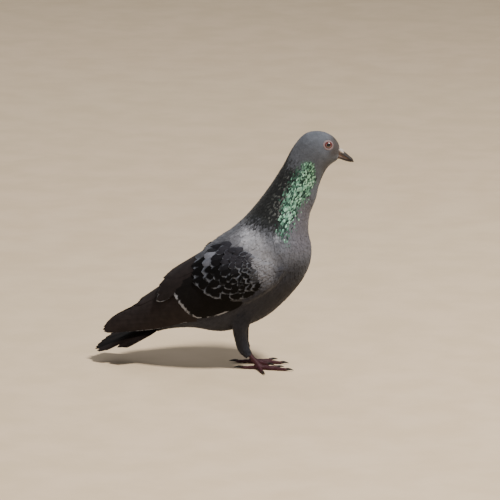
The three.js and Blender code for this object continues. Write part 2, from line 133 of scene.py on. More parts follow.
class Hull:
    """A form through stations. A place on it is t, along the stations, and an angle round from the back."""

    NUDGE = 0.01
    STEPS = 24
    CHUNK = 4000
    PAST_EDGE = 1.25

    def __init__(self, stations):
        self.rows = np.array(stations, float)
        self.rows[:, :5] *= MM
        self.rows[:, [0, 2]] += ORIGIN_X
        self.last = len(stations) - 1

    def section(self, t):
        """The centre, the upward axis and its half length, half width and rise of the section at t."""
        row = between(self.rows, t)
        top, low = row[..., 0:2], row[..., 2:4]
        axis = top - low
        reach = np.linalg.norm(axis, axis=-1) / 2
        return (top + low) / 2, axis / (2 * reach[..., None]), reach, row[..., 4], row[..., 5]

    def point(self, t, angle, grow):
        """Places on the form, grown outwards by so many metres."""
        centre, axis, reach, half, rise = self.section(t)
        out = np.sin(angle)
        up = (np.cos(angle) + rise * out * out) * (reach + grow)
        side = (half + grow) * out
        return np.stack([centre[..., 0] + axis[..., 0] * up, side, centre[..., 1] + axis[..., 1] * up], -1)

    def lie(self, t, angle):
        """The direction towards the tail and the outward normal at places."""
        before, after = (self.point(t + step, angle, 0.0) for step in (-self.NUDGE, self.NUDGE))
        left, right = (self.point(t, angle + step, 0.0) for step in (-self.NUDGE, self.NUDGE))
        along = unit(after - before)
        return along, unit(np.cross(right - left, along))

    def locate(self, points):
        """t and angle of points near the form."""
        fine = np.linspace(0, self.last, self.STEPS * self.last + 1)
        centre, axis, reach, half, _ = self.section(fine)
        found = []
        for some in np.array_split(points, max(1, len(points) // self.CHUNK)):
            rel = some[:, None, [0, 2]] - centre[None]
            height = (rel * axis[None]).sum(-1)
            off = rel[..., 0] * axis[None, :, 1] - rel[..., 1] * axis[None, :, 0]
            far = np.abs(off) + np.maximum(0, np.abs(height) - self.PAST_EDGE * reach) * 3
            rows = np.arange(len(some))
            best = np.clip(far.argmin(1), 0, len(fine) - 2)
            here = off[rows, best]
            beside_glints = np.where(here * off[rows, best + 1] < 0, best + 1, np.maximum(best - 1, 0))
            there = off[rows, beside_glints]
            share = np.abs(here) / np.maximum(np.abs(here) + np.abs(there), 1e-12)
            share = np.where(here * there < 0, share, 0)
            t = fine[best] * (1 - share) + fine[beside_glints] * share
            up = height[rows, best] / reach[best]
            found.append(np.stack([t, np.arctan2(some[:, 1] / half[best], up)]))
        return np.concatenate(found, 1)

    def from_side(self, place, side):
        """The place on the form of a point given as x and z, seen from one side."""
        flat = np.array([stations_point(place[0], 0, place[1])])
        t, _ = self.locate(flat)
        centre, axis, reach, _, _ = self.section(t)
        height = ((flat[:, [0, 2]] - centre) * axis).sum(-1) / reach
        angle = np.arccos(np.clip(height, -0.999, 0.999)) * side
        return np.array([t[0], angle[0]])


def unit(v):
    return v / np.maximum(np.linalg.norm(v, axis=-1, keepdims=True), 1e-12)


def smooth(low, high, v):
    t = np.clip((np.asarray(v, float) - low) / (high - low), 0, 1)
    return t * t * (3 - 2 * t)


def mix(a, b, f):
    f = np.asarray(f, float)[..., None]
    return np.asarray(a, float) * (1 - f) + np.asarray(b, float) * f


body = Hull(BODY)
wing = Hull(WINGS)
flight = Hull(FLIGHT)


def rgb(red, green, blue):
    """A colour given as it is seen on a screen, 0 to 255, as the linear values that materials use."""
    values = np.array([red, green, blue], float) / 255
    return tuple(np.where(values <= 0.04045, values / 12.92, ((values + 0.055) / 1.055) ** 2.4))


def turns(count):
    """Angles once round, evenly spaced."""
    return np.linspace(0, 2 * math.pi, count, endpoint=False)


def search_tree(places):
    """A tree that finds the nearest of the places."""
    tree = KDTree(len(places))
    for i, place in enumerate(places):
        tree.insert(place, i)
    tree.balance()
    return tree


def stations_point(x, y, z):
    """A point given in the stations' terms, in millimetres."""
    return np.array([x * MM + ORIGIN_X, y * MM, z * MM])


def side_view(points):
    """x and z of points in the stations' terms, in millimetres."""
    return (points[:, 0] - ORIGIN_X) / MM, points[:, 2] / MM


# ------------------------------------------------------------------ settings
def length_prop(name, text, value):
    return bpy.props.FloatProperty(name=name, description=text, default=value, min=0, unit="LENGTH")


def colour_prop(name, text, red, green, blue):
    return bpy.props.FloatVectorProperty(
        name=name, description=text, default=rgb(red, green, blue), min=0, max=1, subtype="COLOR"
    )


class PigeonCoatSizes(bpy.types.PropertyGroup):
    head_spacing: length_prop("Head spacing", "Distance between feathers on the head", 0.0005)
    neck_spacing: length_prop("Neck spacing", "Distance between feathers on the neck", 0.001)
    body_spacing: length_prop("Body spacing", "Distance between feathers on breast and back", 0.0013)
    thigh_spacing: length_prop("Thigh spacing", "Distance between feathers on the thighs", 0.001)
    head_depth: length_prop("Head coat", "Depth of the plumage on the head", 0.0005)
    neck_depth: length_prop("Neck coat", "Depth of the plumage on the neck", 0.0009)
    body_depth: length_prop("Body coat", "Depth of the plumage on the trunk", 0.0012)
    overlap: bpy.props.FloatProperty(
        name="Overlap", description="Length of a feather against its spacing", default=4.2, min=1.5, max=8
    )


class PigeonPlumage(bpy.types.PropertyGroup):
    head: colour_prop("Head", "Slate grey of the head", 97, 102, 112)
    face: colour_prop("Face", "Brownish grey of forehead and lores", 74, 67, 64)
    nape: colour_prop("Nape", "Green black of the hind neck", 31, 34, 36)
    green: colour_prop("Neck green", "Green gloss of the neck's sides", 84, 138, 116)
    violet: colour_prop("Neck violet", "Violet gloss of the lower neck", 100, 95, 104)
    breast: colour_prop("Breast", "Grey of the breast", 93, 96, 105)
    # The belly's grey is partly the bird's own, partly painted shade of the underside.
    belly: colour_prop("Belly", "Darker grey of belly and vent", 46, 48, 57)
    shoulder: colour_prop("Shoulder", "Pale grey of mantle and shoulder", 169, 172, 182)
    dusky: colour_prop("Dusky", "Dark slate of the small coverts near the shoulder", 46, 46, 53)
    pale: colour_prop("Fringe", "Pale grey of the fringes on the wing", 152, 155, 164)
    check_edge: colour_prop("Check edge", "Grey round the checks of the coverts", 102, 107, 118)
    black: colour_prop("Checks", "Black of the checks and the wing bar", 7, 7, 8)
    brown: colour_prop("Flight brown", "Grey brown of tertials and primaries", 48, 42, 42)
    tail: colour_prop("Tail", "Dark brown of the tail", 24, 17, 15)


class PigeonBareParts(bpy.types.PropertyGroup):
    bill: colour_prop("Bill", "Dark horn of the bill", 44, 39, 38)
    gape: colour_prop("Gape", "Paler horn along the edges of the bill", 128, 106, 96)
    cere: colour_prop("Cere", "Chalk white of the cere", 192, 184, 176)
    eye_ring: colour_prop("Eye ring", "Bare skin round the eye", 128, 112, 114)
    iris: colour_prop("Iris", "Dull red of the iris", 96, 52, 50)
    # The legs' red is the bird's own, made darker by painted shade.
    legs: colour_prop("Legs", "Dark red of legs and toes", 60, 22, 31)
    claws: colour_prop("Claws", "Black horn of the claws", 22, 20, 20)


# ------------------------------------------------------------------ plumage colours
# The limits between which things fade in: stations down the bird, shares of the way round from the back,
# or millimetres in the stations' terms.
FADES = {
    "past_face": (1.3, 2.4), "face_round": (0.5, 0.72), "painted_crown_light": (0.1, 0.45),
    "painted_head_shade": (1.8, 4.4), "neck_to_breast": (6.0, 8.2), "breast_to_belly": (8.9, 10.5),
    "belly": (9.2, 10.2), "painted_underside_shade": (0.62, 0.85), "rump": (9.6, 11.6), "rump_round": (0.24, 0.4),
    "under_tail": (14.0, 15.6),
    "mantle": (8.2, 9.2), "past_mantle": (9.6, 11), "mantle_round": (0.2, 0.36),
    "wide": (12, 22), "dusky_away": (16, 30), "above_gloss": (211, 216),
    "gloss": (3.7, 4.1), "past_gloss": (8.0, 8.5), "gloss_rim": (0.75, 1.3),
    "nape_round": (0.15, 0.6), "nape_middle": (0.04, 0.2), "past_nape": (7.75, 8.6),
    "violet": (5.4, 6.6), "past_violet": (8.3, 9.4), "band_away": (3, 17), "lapel_away": (1.5, 7),
    "top_glints": (4.1, 4.9), "low_glints": (7.3, 7.9), "glossy": (0.35, 0.75), "some_gloss": (0.2, 0.3),
    "inside_gloss": (0.0, -0.08), "at_gloss_edge": (-0.05, 0.02), "beside_gloss": (0.05, 0.28),
    "neck_coat": (4.2, 6), "body_coat": (7, 9.5), "past_bill": (0.5, 3.4), "neck_rows": (3.6, 6.0),
    "body_rows": (7.0, 9.8), "back_rows": (0.3, 0.6), "from_eye": (5, 11), "round_eye": (5, 10),
    "thigh_top": (44, 60), "thigh_sunk": (44, 64), "thigh_foot": (20, 38),
    "front_coverts": (-14, 4), "back_coverts": (104, 124), "top_coverts": (120, 132), "painted_top_light": (124, 136),
    "thin_fringes": (118, 134), "in_dusky": (28, 10), "in_tuft": (9.5, 3.5),
    "net_x": (8, 3), "net_z": (14, 8), "pale_tips": (0.3, 0.45), "past_pale_tips": (0.84, 0.99),
}


def fade(name, v):
    return smooth(*FADES[name], v)


# The glossy patch on each side of the neck: stations, how far round it lies (0 at the back, 1 in front)
# and half its width there.
GLOSS = [
    (3.9, 0.54, 0.09), (4.2, 0.56, 0.14), (4.6, 0.61, 0.17), (5.1, 0.615, 0.155), (5.6, 0.58, 0.15),
    (6.3, 0.555, 0.14), (6.8, 0.565, 0.11), (7.3, 0.585, 0.075), (8.1, 0.6, 0.03),
]
# Painted glints on the glossy patch: colours from its darkest feathers, painted in shade, to those painted as
# catching the light.
GLINTS = [(24, 42, 38), (52, 84, 75), (98, 142, 124), (140, 200, 170), (186, 236, 212)]
# The pale band over the shoulder, from the mantle down behind the breast, and how pale it is along it.
SHOULDER_BAND = [
    (-13, 140, 0.35), (-5, 140.5, 1), (3, 136, 0.8), (8, 127, 0.62), (13, 117, 0.56), (14, 103, 0.34),
    (8, 90, 0),
]
# The middle of a small pale spot in front of the shoulder, just below the glossy patch.
LAPEL = (24.6, 141.5)
# The middles of the dark patch by the shoulder, as the body feathers and the coverts have it, of the tuft of
# blue-grey coverts, and of the part of the wing with the widest pale net between the checks.
DUSKY = (-14, 124)
DUSKY_COVERTS = (-16, 126)
TUFT = (-51, 114.5)
NET = (-46, 94)


def shoulder_pale(x, z):
    """How pale a place seen from the side is, by the band over the shoulder and the spot below the gloss."""
    line = along_table(SHOULDER_BAND, 40)
    x, z = np.atleast_1d(x), np.atleast_1d(z)
    away = np.hypot(x[:, None] - line[:, 0], z[:, None] - line[:, 1])
    nearest = away.argmin(1)
    band = (1 - fade("band_away", away[np.arange(len(x)), nearest])) * line[nearest, 2]
    spot = 0.55 * (1 - fade("lapel_away", np.hypot((x - LAPEL[0]) * 1.5, z - LAPEL[1])))
    return np.maximum(band, spot)


def gloss_place(t):
    """The middle and the half width of the glossy patch, as shares of the way round the neck."""
    stations, middle, half = np.array(GLOSS).T
    return np.interp(t, stations, middle), np.interp(t, stations, half)


def gloss_margin(t, front):
    """How far round the neck places lie outside the glossy patch."""
    middle, half = gloss_place(t)
    return np.abs(front - middle) - half


def neck_parts(t, front, jitter):
    """How much of the dark hind neck, of the green patch, and of the violet round it there is at a place."""
    middle, half = gloss_place(t)
    ragged = t + jitter
    ends = fade("gloss", ragged) * (1 - fade("past_gloss", ragged))
    green = (1 - fade("gloss_rim", np.abs(front - middle + 0.25 * jitter) / half)) * ends
    top = 5.2 - 0.7 * fade("nape_round", front) - 0.9 * (1 - fade("nape_middle", front))
    nape = smooth(top, top + 0.8, ragged) * (1 - fade("past_nape", ragged))
    nape = nape * (1 - smooth(middle - 0.1, middle + 0.12, front))
    violet = fade("violet", t) * (1 - fade("past_violet", t)) * smooth(middle, middle + 0.2, front)
    return nape, green, violet


def plumage_colour(points, colours, rng=None):
    """The colour of the coat at points on head, neck, trunk and thighs, with the bird's own markings and
    painted light and shade.
    """
    t, angle = body.locate(points)
    front = np.abs(angle) / math.pi
    x, z = side_view(points)
    jitter = 0.0 if rng is None else rng.normal(0, 0.14, len(points))
    colour = np.tile(np.array(colours.head, float), (len(points), 1))
    colour = mix(colour, colours.face, 0.85 * (1 - fade("past_face", t)) * (1 - fade("face_round", front)))
    # Painted light and shade: the crown up to 0.12 lighter, the back of the head and the neck up to 0.22
    # darker.
    colour = colour * (1 + 0.12 * (1 - fade("painted_crown_light", front)) - 0.22 * fade("painted_head_shade", t))[:, None]
    # Painted light and shade below: the belly's darker grey comes in sooner down the middle of the front, the
    # underside round belly and vent darkens to 0.72, and breast and flanks are lightened by 0.12.
    lower = mix(colours.breast, colours.belly, fade("breast_to_belly", t + 1.6 * (front - 0.6)))
    lower = lower * (1.12 - 0.4 * fade("belly", t) * fade("painted_underside_shade", front))[:, None]
    lower = mix(lower, colours.brown, fade("rump", t) * (1 - fade("rump_round", front)))
    lower = mix(lower, colours.tail, 0.7 * fade("under_tail", t))
    colour = mix(colour, lower, fade("neck_to_breast", t))
    mantle = fade("mantle", t) * (1 - fade("past_mantle", t)) * (1 - fade("mantle_round", front))
    colour = mix(colour, mix(colours.belly, colours.breast, 0.75), 0.85 * mantle)
    wide = fade("wide", np.abs(points[:, 1]) / MM)
    off_dusky = fade("dusky_away", np.hypot((x - DUSKY[0]) / 1.2, z - DUSKY[1]))
    colour = mix(colour, colours.dusky, 0.85 * wide * (1 - off_dusky))
    pale = shoulder_pale(x + 2 * jitter, z) * wide
    colour = mix(colour, colours.shoulder, pale)
    nape, green, violet = neck_parts(t, front, jitter)
    green = green * (1 - fade("above_gloss", z + 6 * jitter))
    colour = mix(colour, colours.violet, 0.5 * violet)
    colour = mix(colour, colours.nape, nape)
    colour = mix(colour, colours.green, green)
    return colour, np.maximum(green, 0.3 * np.maximum(nape, 0.7 * violet))


def clumps(places, share, rng):
    """A random value for every place, alike among near neighbours, and more so along a bird's height."""
    shape = np.array([1, 1, 0.55])
    seeds = places[rng.random(len(places)) < share] * shape
    values = rng.random(len(seeds))
    tree = search_tree(seeds)
    return np.array([values[tree.find(place * shape)[1]] for place in places])


# ------------------------------------------------------------------ mesh helpers
def mesh_object(name, points, faces):
    mesh = bpy.data.meshes.new(name)
    mesh.from_pydata([tuple(p) for p in points], [], [tuple(f) for f in faces])
    mesh.update()
    made = bpy.data.objects.new(name, mesh)
    bpy.context.scene.collection.objects.link(made)
    return made


def set_points(made, points):
    made.data.vertices.foreach_set("co", np.asarray(points, np.float32).ravel())
    made.data.update()


def read_vectors(data, field):
    values = np.empty(len(data) * 3, np.float32)
    data.foreach_get(field, values)
    return values.reshape(-1, 3).astype(float)


def get_points(made):
    return read_vectors(made.data.vertices, "co")


def get_normals(made):
    return read_vectors(made.data.vertex_normals, "vector")


# The attributes that are not plain numbers, and the field that holds each kind.
KINDS = {"tint": "FLOAT_COLOR", "lie": "FLOAT_VECTOR", "size": "FLOAT_VECTOR"}
FIELDS = {"FLOAT": "value", "FLOAT_VECTOR": "vector", "FLOAT_COLOR": "color"}


def put_attributes(mesh, **given):
    """Stores one value for each vertex under each name."""
    for name, values in given.items():
        kind = KINDS.get(name, "FLOAT")
        values = np.asarray(values, np.float32)
        if kind == "FLOAT_COLOR":
            values = np.concatenate([values, np.ones((len(values), 1), np.float32)], 1)
        mesh.attributes.new(name, kind, "POINT").data.foreach_set(FIELDS[kind], values.ravel())


def read_attribute(mesh, name):
    values = np.empty(len(mesh.vertices), np.float32)
    mesh.attributes[name].data.foreach_get("value", values)
    return values


def put_bake_map(mesh, uv):
    """The OFBake map, from one place for each vertex."""
    layer = mesh.uv_layers.get("OFBake") or mesh.uv_layers.new(name="OFBake")
    corners = np.empty(len(mesh.loops), np.int32)
    mesh.loops.foreach_get("vertex_index", corners)
    layer.data.foreach_set("uv", np.clip(uv[corners], 0, 1).astype(np.float32).ravel())


def smooth_faces(mesh):
    mesh.polygons.foreach_set("use_smooth", np.ones(len(mesh.polygons), bool))


def applied(made, name):
    """The object with its modifiers made part of a plain mesh."""
    graph = bpy.context.evaluated_depsgraph_get()
    evaluated = made.evaluated_get(graph)
    mesh = bpy.data.meshes.new_from_object(evaluated, preserve_all_data_layers=True, depsgraph=graph)
    made.modifiers.clear()
    old, made.data = made.data, mesh
    mesh.name = name
    bpy.data.meshes.remove(old)
    return made


def finish_piece(piece, material, slot, *nodes):
    """Every piece rides on the bird's one body, and takes the place of the nodes that it covers."""
    smooth_faces(piece.data)
    piece.data.materials.clear()
    piece.data.materials.append(material)
    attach(piece, "root")
    if nodes:
        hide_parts(*nodes)
    return piece


def net_faces(count, sides, closed=False):
    """Four-sided faces between rings of points, and from the last to the first where they close a tube."""
    faces = []
    for r in range(count if closed else count - 1):
        here, onward = r * sides, (r + 1) % count * sides
        for k in range(sides):
            after = (k + 1) % sides
            faces.append((here + k, here + after, onward + after, onward + k))
    return faces


def lofted(name, rings):
    """A closed mesh through rings of equal length, each end drawn to its own middle."""
    rings = np.asarray(rings, float)
    count, sides = rings.shape[:2]
    points = [*rings.reshape(-1, 3), rings[0].mean(0), rings[-1].mean(0)]
    faces = net_faces(count, sides)
    last = (count - 1) * sides
    for k in range(sides):
        faces.append((count * sides, (k + 1) % sides, k))
    for k in range(sides):
        faces.append((count * sides + 1, last + k, last + (k + 1) % sides))
    made = mesh_object(name, points, faces)
    face_outwards(made.data)
    return made


def face_outwards(mesh):
    """Turns the faces of closed shells outwards."""
    work = bmesh.new()
    work.from_mesh(mesh)
    bmesh.ops.recalc_face_normals(work, faces=work.faces)
    work.to_mesh(mesh)
    work.free()
    mesh.update()


def joined(name, parts):
    """One object from several, keeping their attributes and maps."""
    bpy.ops.object.select_all(action="DESELECT")
    for part in parts:
        part.select_set(True)
    whole = bpy.context.view_layer.objects.active = parts[0]
    if len(parts) > 1:
        bpy.ops.object.join()
    whole.name = whole.data.name = name
    whole.select_set(False)
    return whole


# ------------------------------------------------------------------ materials
class Graph:
    """Adds nodes to a node tree and links them, one call for each."""

    def __init__(self, tree):
        self.tree = tree

    def node(self, kind, inputs=(), **settings):
        made = self.tree.nodes.new(kind)
        for name, value in settings.items():
            setattr(made, name, value)
        for name, value in dict(inputs).items():
            self.feed(made.inputs[name], value)
        return made

    def feed(self, socket, value):
        if isinstance(value, bpy.types.NodeSocket):
            self.tree.links.new(value, socket)
        elif hasattr(value, "__len__") and len(value) == 3 and socket.type == "RGBA":
            socket.default_value = (*value, 1)
        else:
            socket.default_value = value

    def math(self, operation, *values):
        return self.node("ShaderNodeMath", dict(enumerate(values)), operation=operation).outputs[0]

    def mix(self, factor, a, b):
        return self.node("ShaderNodeMix", {"Factor": factor, 6: a, 7: b}, data_type="RGBA").outputs[2]

    def scaled(self, vector, factor):
        """A vector or a colour times a number."""
        inputs = {0: vector, "Scale": factor}
        return self.node("ShaderNodeVectorMath", inputs, operation="SCALE").outputs[0]

    def ramp(self, value, low, high, start=0.0, end=1.0):
        """start below low, end above high, and a smooth change between."""
        inputs = {"Value": value, "From Min": low, "From Max": high, "To Min": start, "To Max": end}
        return self.node("ShaderNodeMapRange", inputs, interpolation_type="SMOOTHSTEP").outputs[0]

    def attribute(self, name, output="Fac"):
        return self.node("ShaderNodeAttribute", attribute_name=name).outputs[output]

    def noise(self, scale, detail, vector=None):
        place = vector or self.node("ShaderNodeTexCoord").outputs["Object"]
        inputs = {"Vector": place, "Scale": scale, "Detail": detail, "Roughness": 0.55}
        return self.node("ShaderNodeTexNoise", inputs).outputs["Fac"]


def effect(graph, name, outputs, build, **inputs):
    """Places the node group of this name, which build fills in at its first use, and gives its outputs."""
    group = bpy.data.node_groups.get(name)
    if group is None:
        group = bpy.data.node_groups.new(name, "ShaderNodeTree")
        for way, labels in (("INPUT", inputs), ("OUTPUT", outputs)):
            for label in labels:
                kind = "NodeSocketColor" if label == "Colour" else "NodeSocketFloat"
                group.interface.new_socket(label, in_out=way, socket_type=kind)
        inner = Graph(group)
        ends = inner.node("NodeGroupOutput").inputs
        for label, value in build(inner, inner.node("NodeGroupInput").outputs).items():
            inner.feed(ends[label], value)
    return graph.node("ShaderNodeGroup", inputs, node_tree=group).outputs


def barbs_inside(graph, given):
    """The barbs of a vane, which run out and forward from its shaft, as a shade and a height."""
    side = graph.math("ABSOLUTE", given["Across"])
    line = graph.math("SUBTRACT", given["Along"], graph.math("MULTIPLY", side, given["Sweep"]))
    broken = graph.math("MULTIPLY", graph.noise(900.0, 2.0), 0.9)
    wave = graph.math("SINE", graph.math("ADD", graph.math("MULTIPLY", line, given["Count"]), broken))
    wave = graph.math("MULTIPLY_ADD", wave, 0.5, 0.5)
    shaft = graph.ramp(side, graph.math("MULTIPLY", given["Shaft"], 0.4), given["Shaft"], 1.0, 0.0)
    dark = graph.math("MULTIPLY", graph.math("SUBTRACT", 1.0, wave), given["Contrast"])
    height = graph.math("ADD", graph.math("MULTIPLY", wave, 0.35), shaft)
    return {"Shade": graph.math("SUBTRACT", 1.0, dark), "Height": height}


def barbs(graph, count, contrast, sweep=0.35, shaft=0.05):
    return effect(
        graph, "Barbs", ("Shade", "Height"), barbs_inside, Along=graph.attribute("along"),
        Across=graph.attribute("across"), Count=count, Sweep=sweep, Contrast=contrast, Shaft=shaft,
    )


def mottle_inside(graph, given):
    """A colour that is darker and lighter in soft patches, fixed to the object."""
    patches = graph.noise(given["Scale"], given["Detail"])
    tone = graph.ramp(patches, given["Low"], given["High"], given["Dark"], given["Bright"])
    return {"Colour": graph.scaled(given["Colour"], graph.math("MULTIPLY", given["Shade"], tone))}


def mottled(graph, colour, scale, detail, low, high, dark, bright, shade=1.0):
    return effect(
        graph, "Mottle", ("Colour",), mottle_inside, Colour=colour, Shade=shade, Scale=scale, Detail=detail,
        Low=low, High=high, Dark=dark, Bright=bright,
    )["Colour"]


def new_material(name, roughness, specular=0.5, **sockets):
    """A material's graph and its surface shader, whose uniform values are set on its sockets."""
    material = bpy.data.materials.new(name)
    material.use_nodes = True
    surface = material.node_tree.nodes["Principled BSDF"]
    sockets.update(Roughness=roughness, Specular_IOR_Level=specular)
    for socket, value in sockets.items():
        surface.inputs[socket.replace("_", " ")].default_value = value
    return material, Graph(material.node_tree), surface


def dress(graph, surface, colour, height=None, distance=0.0, strength=1.0):
    """Feeds the surface its colour, and a relief of so many metres."""
    graph.feed(surface.inputs["Base Color"], colour)
    if height is not None:
        relief = graph.node("ShaderNodeBump", {"Height": height, "Distance": distance, "Strength": strength})
        graph.feed(surface.inputs["Normal"], relief.outputs["Normal"])


def plumage_material(name, roughness=0.8, count=150.0, contrast=0.12, sheen=0.12, glossy=False):
    """Small body feathers: their own tint, fine barbs, and a soft sheen. On glossy ones, the gloss
    attribute turns soft grey to a metal sheen."""
    material, graph, surface = new_material(name, roughness, 0.22, Sheen_Weight=sheen, Sheen_Roughness=0.45)
    vane = barbs(graph, count, contrast)
    tint = graph.attribute("tint", "Color")
    colour = mottled(graph, tint, 240.0, 4.0, 0.3, 0.72, 0.86, 1.1, vane["Shade"])
    dress(graph, surface, colour, vane["Height"], 0.00005, 0.6)
    if glossy:
        gloss = graph.attribute("gloss")
        graph.feed(surface.inputs["Metallic"], graph.math("MULTIPLY", gloss, 0.5))
        graph.feed(surface.inputs["Roughness"], graph.ramp(gloss, 0.0, 1.0, 0.78, 0.42))
    return material


def flight_material(name, fringe, inner=0.7):
    """Long stiff feathers: barbs, a shaft, and a fringe as wide as the fringe attribute says.
    inner is where the fringe is still at its palest, as a share of its width."""
    material, graph, surface = new_material(name, 0.7, 0.1)
    vane = barbs(graph, 230.0, 0.12, 0.22, 0.07)
    tint = graph.attribute("tint", "Color")
    base = mottled(graph, tint, 160.0, 4.0, 0.3, 0.72, 0.8, 1.12, vane["Shade"])
    ragged = graph.math("MULTIPLY_ADD", graph.noise(420.0, 3.0), 1.5, -0.75)
    reach = graph.math("ADD", graph.attribute("edge"), ragged)
    width = graph.attribute("fringe")
    faded = graph.math("MULTIPLY_ADD", width, 1.2, 0.12)
    mask = graph.ramp(reach, graph.math("MULTIPLY", width, inner), faded, 1.0, 0.0)
    mask = graph.math("MULTIPLY", mask, graph.ramp(width, 0.05, 0.5))
    mask = graph.math("MULTIPLY", mask, graph.ramp(graph.noise(150.0, 2.0), 0.36, 0.54, 0.08, 1.0))
    pale = mottled(graph, tuple(fringe), 300.0, 2.0, 0.3, 0.7, 0.72, 1.05, vane["Shade"])
    dress(graph, surface, graph.mix(mask, base, pale), vane["Height"], 0.00008, 0.7)
    return material


def skin_material():
    """The skin under the feathers and the scales of the legs, in the tint that each place has."""
    material, graph, surface = new_material("Skin", 0.62, 0.35)
    colour = mottled(graph, graph.attribute("tint", "Color"), 900.0, 5.0, 0.28, 0.74, 0.78, 1.14)
    dress(graph, surface, colour, graph.noise(2600.0, 4.0), 0.00005, 0.6)
    return material


def horn_material(name, dark, light, roughness):
    """Horn of bill and claws, with streaks along it and a paler part where the pale attribute says so."""
    material, graph, surface = new_material(name, roughness, 0.35, Coat_Weight=0.05, Coat_Roughness=0.4)
    place = graph.node("ShaderNodeTexCoord").outputs["Object"]
    drawn_out = graph.node("ShaderNodeMapping", {"Vector": place, "Scale": (0.3, 1.0, 1.0)})
    lines = graph.noise(1500.0, 4.0, drawn_out.outputs["Vector"])
    colour = graph.mix(graph.attribute("pale"), tuple(dark), tuple(light))
    colour = graph.scaled(colour, graph.ramp(lines, 0.3, 0.7, 0.75, 1.25))
    graph.feed(surface.inputs["Roughness"], graph.ramp(lines, 0.3, 0.8, roughness - 0.08, roughness + 0.14))
    dress(graph, surface, colour, lines, 0.00004, 0.5)
    return material


def cere_material(colour):
    """Powdery white cere with faint pores, and painted shade in the nostril slits."""
    material, graph, surface = new_material("Cere", 0.85, Sheen_Weight=0.2)
    # Where the pale attribute falls, at the nostril slits, the white turns dark brown: painted shade in the
    # openings.
    colour = graph.mix(graph.attribute("pale"), rgb(92, 78, 74), tuple(colour))
    colour = mottled(graph, colour, 700.0, 5.0, 0.3, 0.7, 0.72, 1.06)
    dress(graph, surface, colour, graph.noise(1500.0, 5.0), 0.00012, 0.8)
    return material


def eye_material(iris_colour):
    """Black pupil, dull red iris with fine rays, a darker rim and a painted highlight round the pupil, under
    a wet clear coat.
    """
    material, graph, surface = new_material("Eye", 0.18, Coat_Weight=1.0, Coat_Roughness=0.03)
    ring = graph.attribute("ring")
    rays = graph.noise(1600.0, 4.0)
    iris = graph.mix(graph.ramp(ring, 0.5, 0.95), tuple(iris_colour), rgb(104, 30, 26))
    # Painted highlight: a pale ring round the pupil.
    iris = graph.mix(graph.ramp(ring, 0.56, 0.72, 0.5, 0.0), iris, rgb(140, 100, 92))
    iris = graph.mix(graph.ramp(rays, 0.35, 0.7, 0.35, 0.0), iris, rgb(74, 20, 16))
    eye = graph.mix(graph.ramp(ring, 0.53, 0.58), rgb(6, 5, 6), iris)
    dress(graph, surface, graph.mix(graph.ramp(ring, 0.96, 1.05), eye, rgb(48, 38, 38)))
    return material


# ------------------------------------------------------------------ skin
# Where an eyeball lies seen from the side, its radius, and how far its middle is from the bird's middle.
EYE = {"x": 70.6, "z": 228.2, "radius": 5.5, "out": 6.9}
EYE_LOOK = (0.36, 0.18)
EYE_OPENING = 3.8
EYE_RING = 5.0
# The rim of the lids and the ring round them: radius, height over the eye, and height over the skin.
LID_ROWS = (
    (3.4, 3.6, None), (3.55, 4.2, None), (3.7, 4.5, None), (3.9, 4.5, 0.9), (4.1, None, 0.62),
    (4.4, None, 0.5), (4.7, None, 0.45), (5.0, None, 0.3), (5.3, None, -0.1), (5.5, None, -1.2),
    (4.5, 1.2, None),
)
# The station where the trunk ends, under the tail.
BODY_END = 15.4
LEG_NODES = ("tarsus", "foot_pad", "toe")
ARM_INSET = 2.4
THIGH_INSET = 0.9
THIGH_REACH = (2.6, 0, -4)
SKIN_VOXEL = 1.4
LEG_VOXEL = 0.5
LEG_GROWTH = 0.33
LEG_SHRINK = 0.3
SCALE_LENGTH = {"toe": 1.55, "tarsus": 1.9}
# How deep the grooves between the scales are, and how high the granules and the joints of the toes.
SCALE_GROOVE = 0.2
GRANULE = 0.09
GRANULE_WAVES = ((2900.0, 1700, 900), (-1100.0, 2500, 2100))
TOE_JOINT = 0.22
TOE_END = 0.75


def eye_frame(side):
    """The centre of an eyeball, the way it looks, and two directions across."""
    centre = stations_point(EYE["x"], side * EYE["out"], EYE["z"])
    look = unit(np.array([EYE_LOOK[0], side, EYE_LOOK[1]]))
    ahead = unit(np.cross([0, 0, 1.0], look) * side)
    return centre, look, ahead, unit(np.cross(look, ahead)) * side


def coat_depth(t, sizes):
    """How far the skin lies inside the tips of the coat."""
    depth = mix([sizes.head_depth], [sizes.neck_depth], fade("neck_coat", t))[..., 0]
    return depth + (sizes.body_depth - sizes.neck_depth) * fade("body_coat", t)


def node_copy(node, grow=0.0):
    """A closed copy of a node's mesh, its loose triangles merged, and grown outwards."""
    work = bmesh.new()
    work.from_mesh(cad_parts[node].data)
    bmesh.ops.remove_doubles(work, verts=work.verts, dist=1e-5)
    work.normal_update()
    copy = mesh_object(node + "_copy", [], [])
    work.to_mesh(copy.data)
    work.free()
    copy.data.materials.clear()
    set_points(copy, get_points(copy) + get_normals(copy) * grow)
    return copy


def long_axis(node):
    """The points of a node's solid, their middle, and the direction that it is longest in."""
    own = get_points(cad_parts[node])
    middle = own.mean(0)
    return own, middle, np.linalg.svd(own - middle, full_matrices=False)[2][0]


def remeshed(name, parts, voxel, rounds):
    """One closed skin over all the parts."""
    made = joined(name, parts)
    remesh = made.modifiers.new("Remesh", "REMESH")
    remesh.mode = "VOXEL"
    remesh.voxel_size = voxel * MM
    smoothing = made.modifiers.new("Smooth", "SMOOTH")
    smoothing.factor = 0.5
    smoothing.iterations = rounds
    return applied(made, name)


def body_form(sizes):
    """The loft of head, neck and trunk, as deep inside the plumage as the coat is thick."""
    t = np.linspace(0.0, BODY_END, 180)[:, None]
    return lofted("body_form", body.point(t, turns(72)[None, :], -coat_depth(t, sizes)))


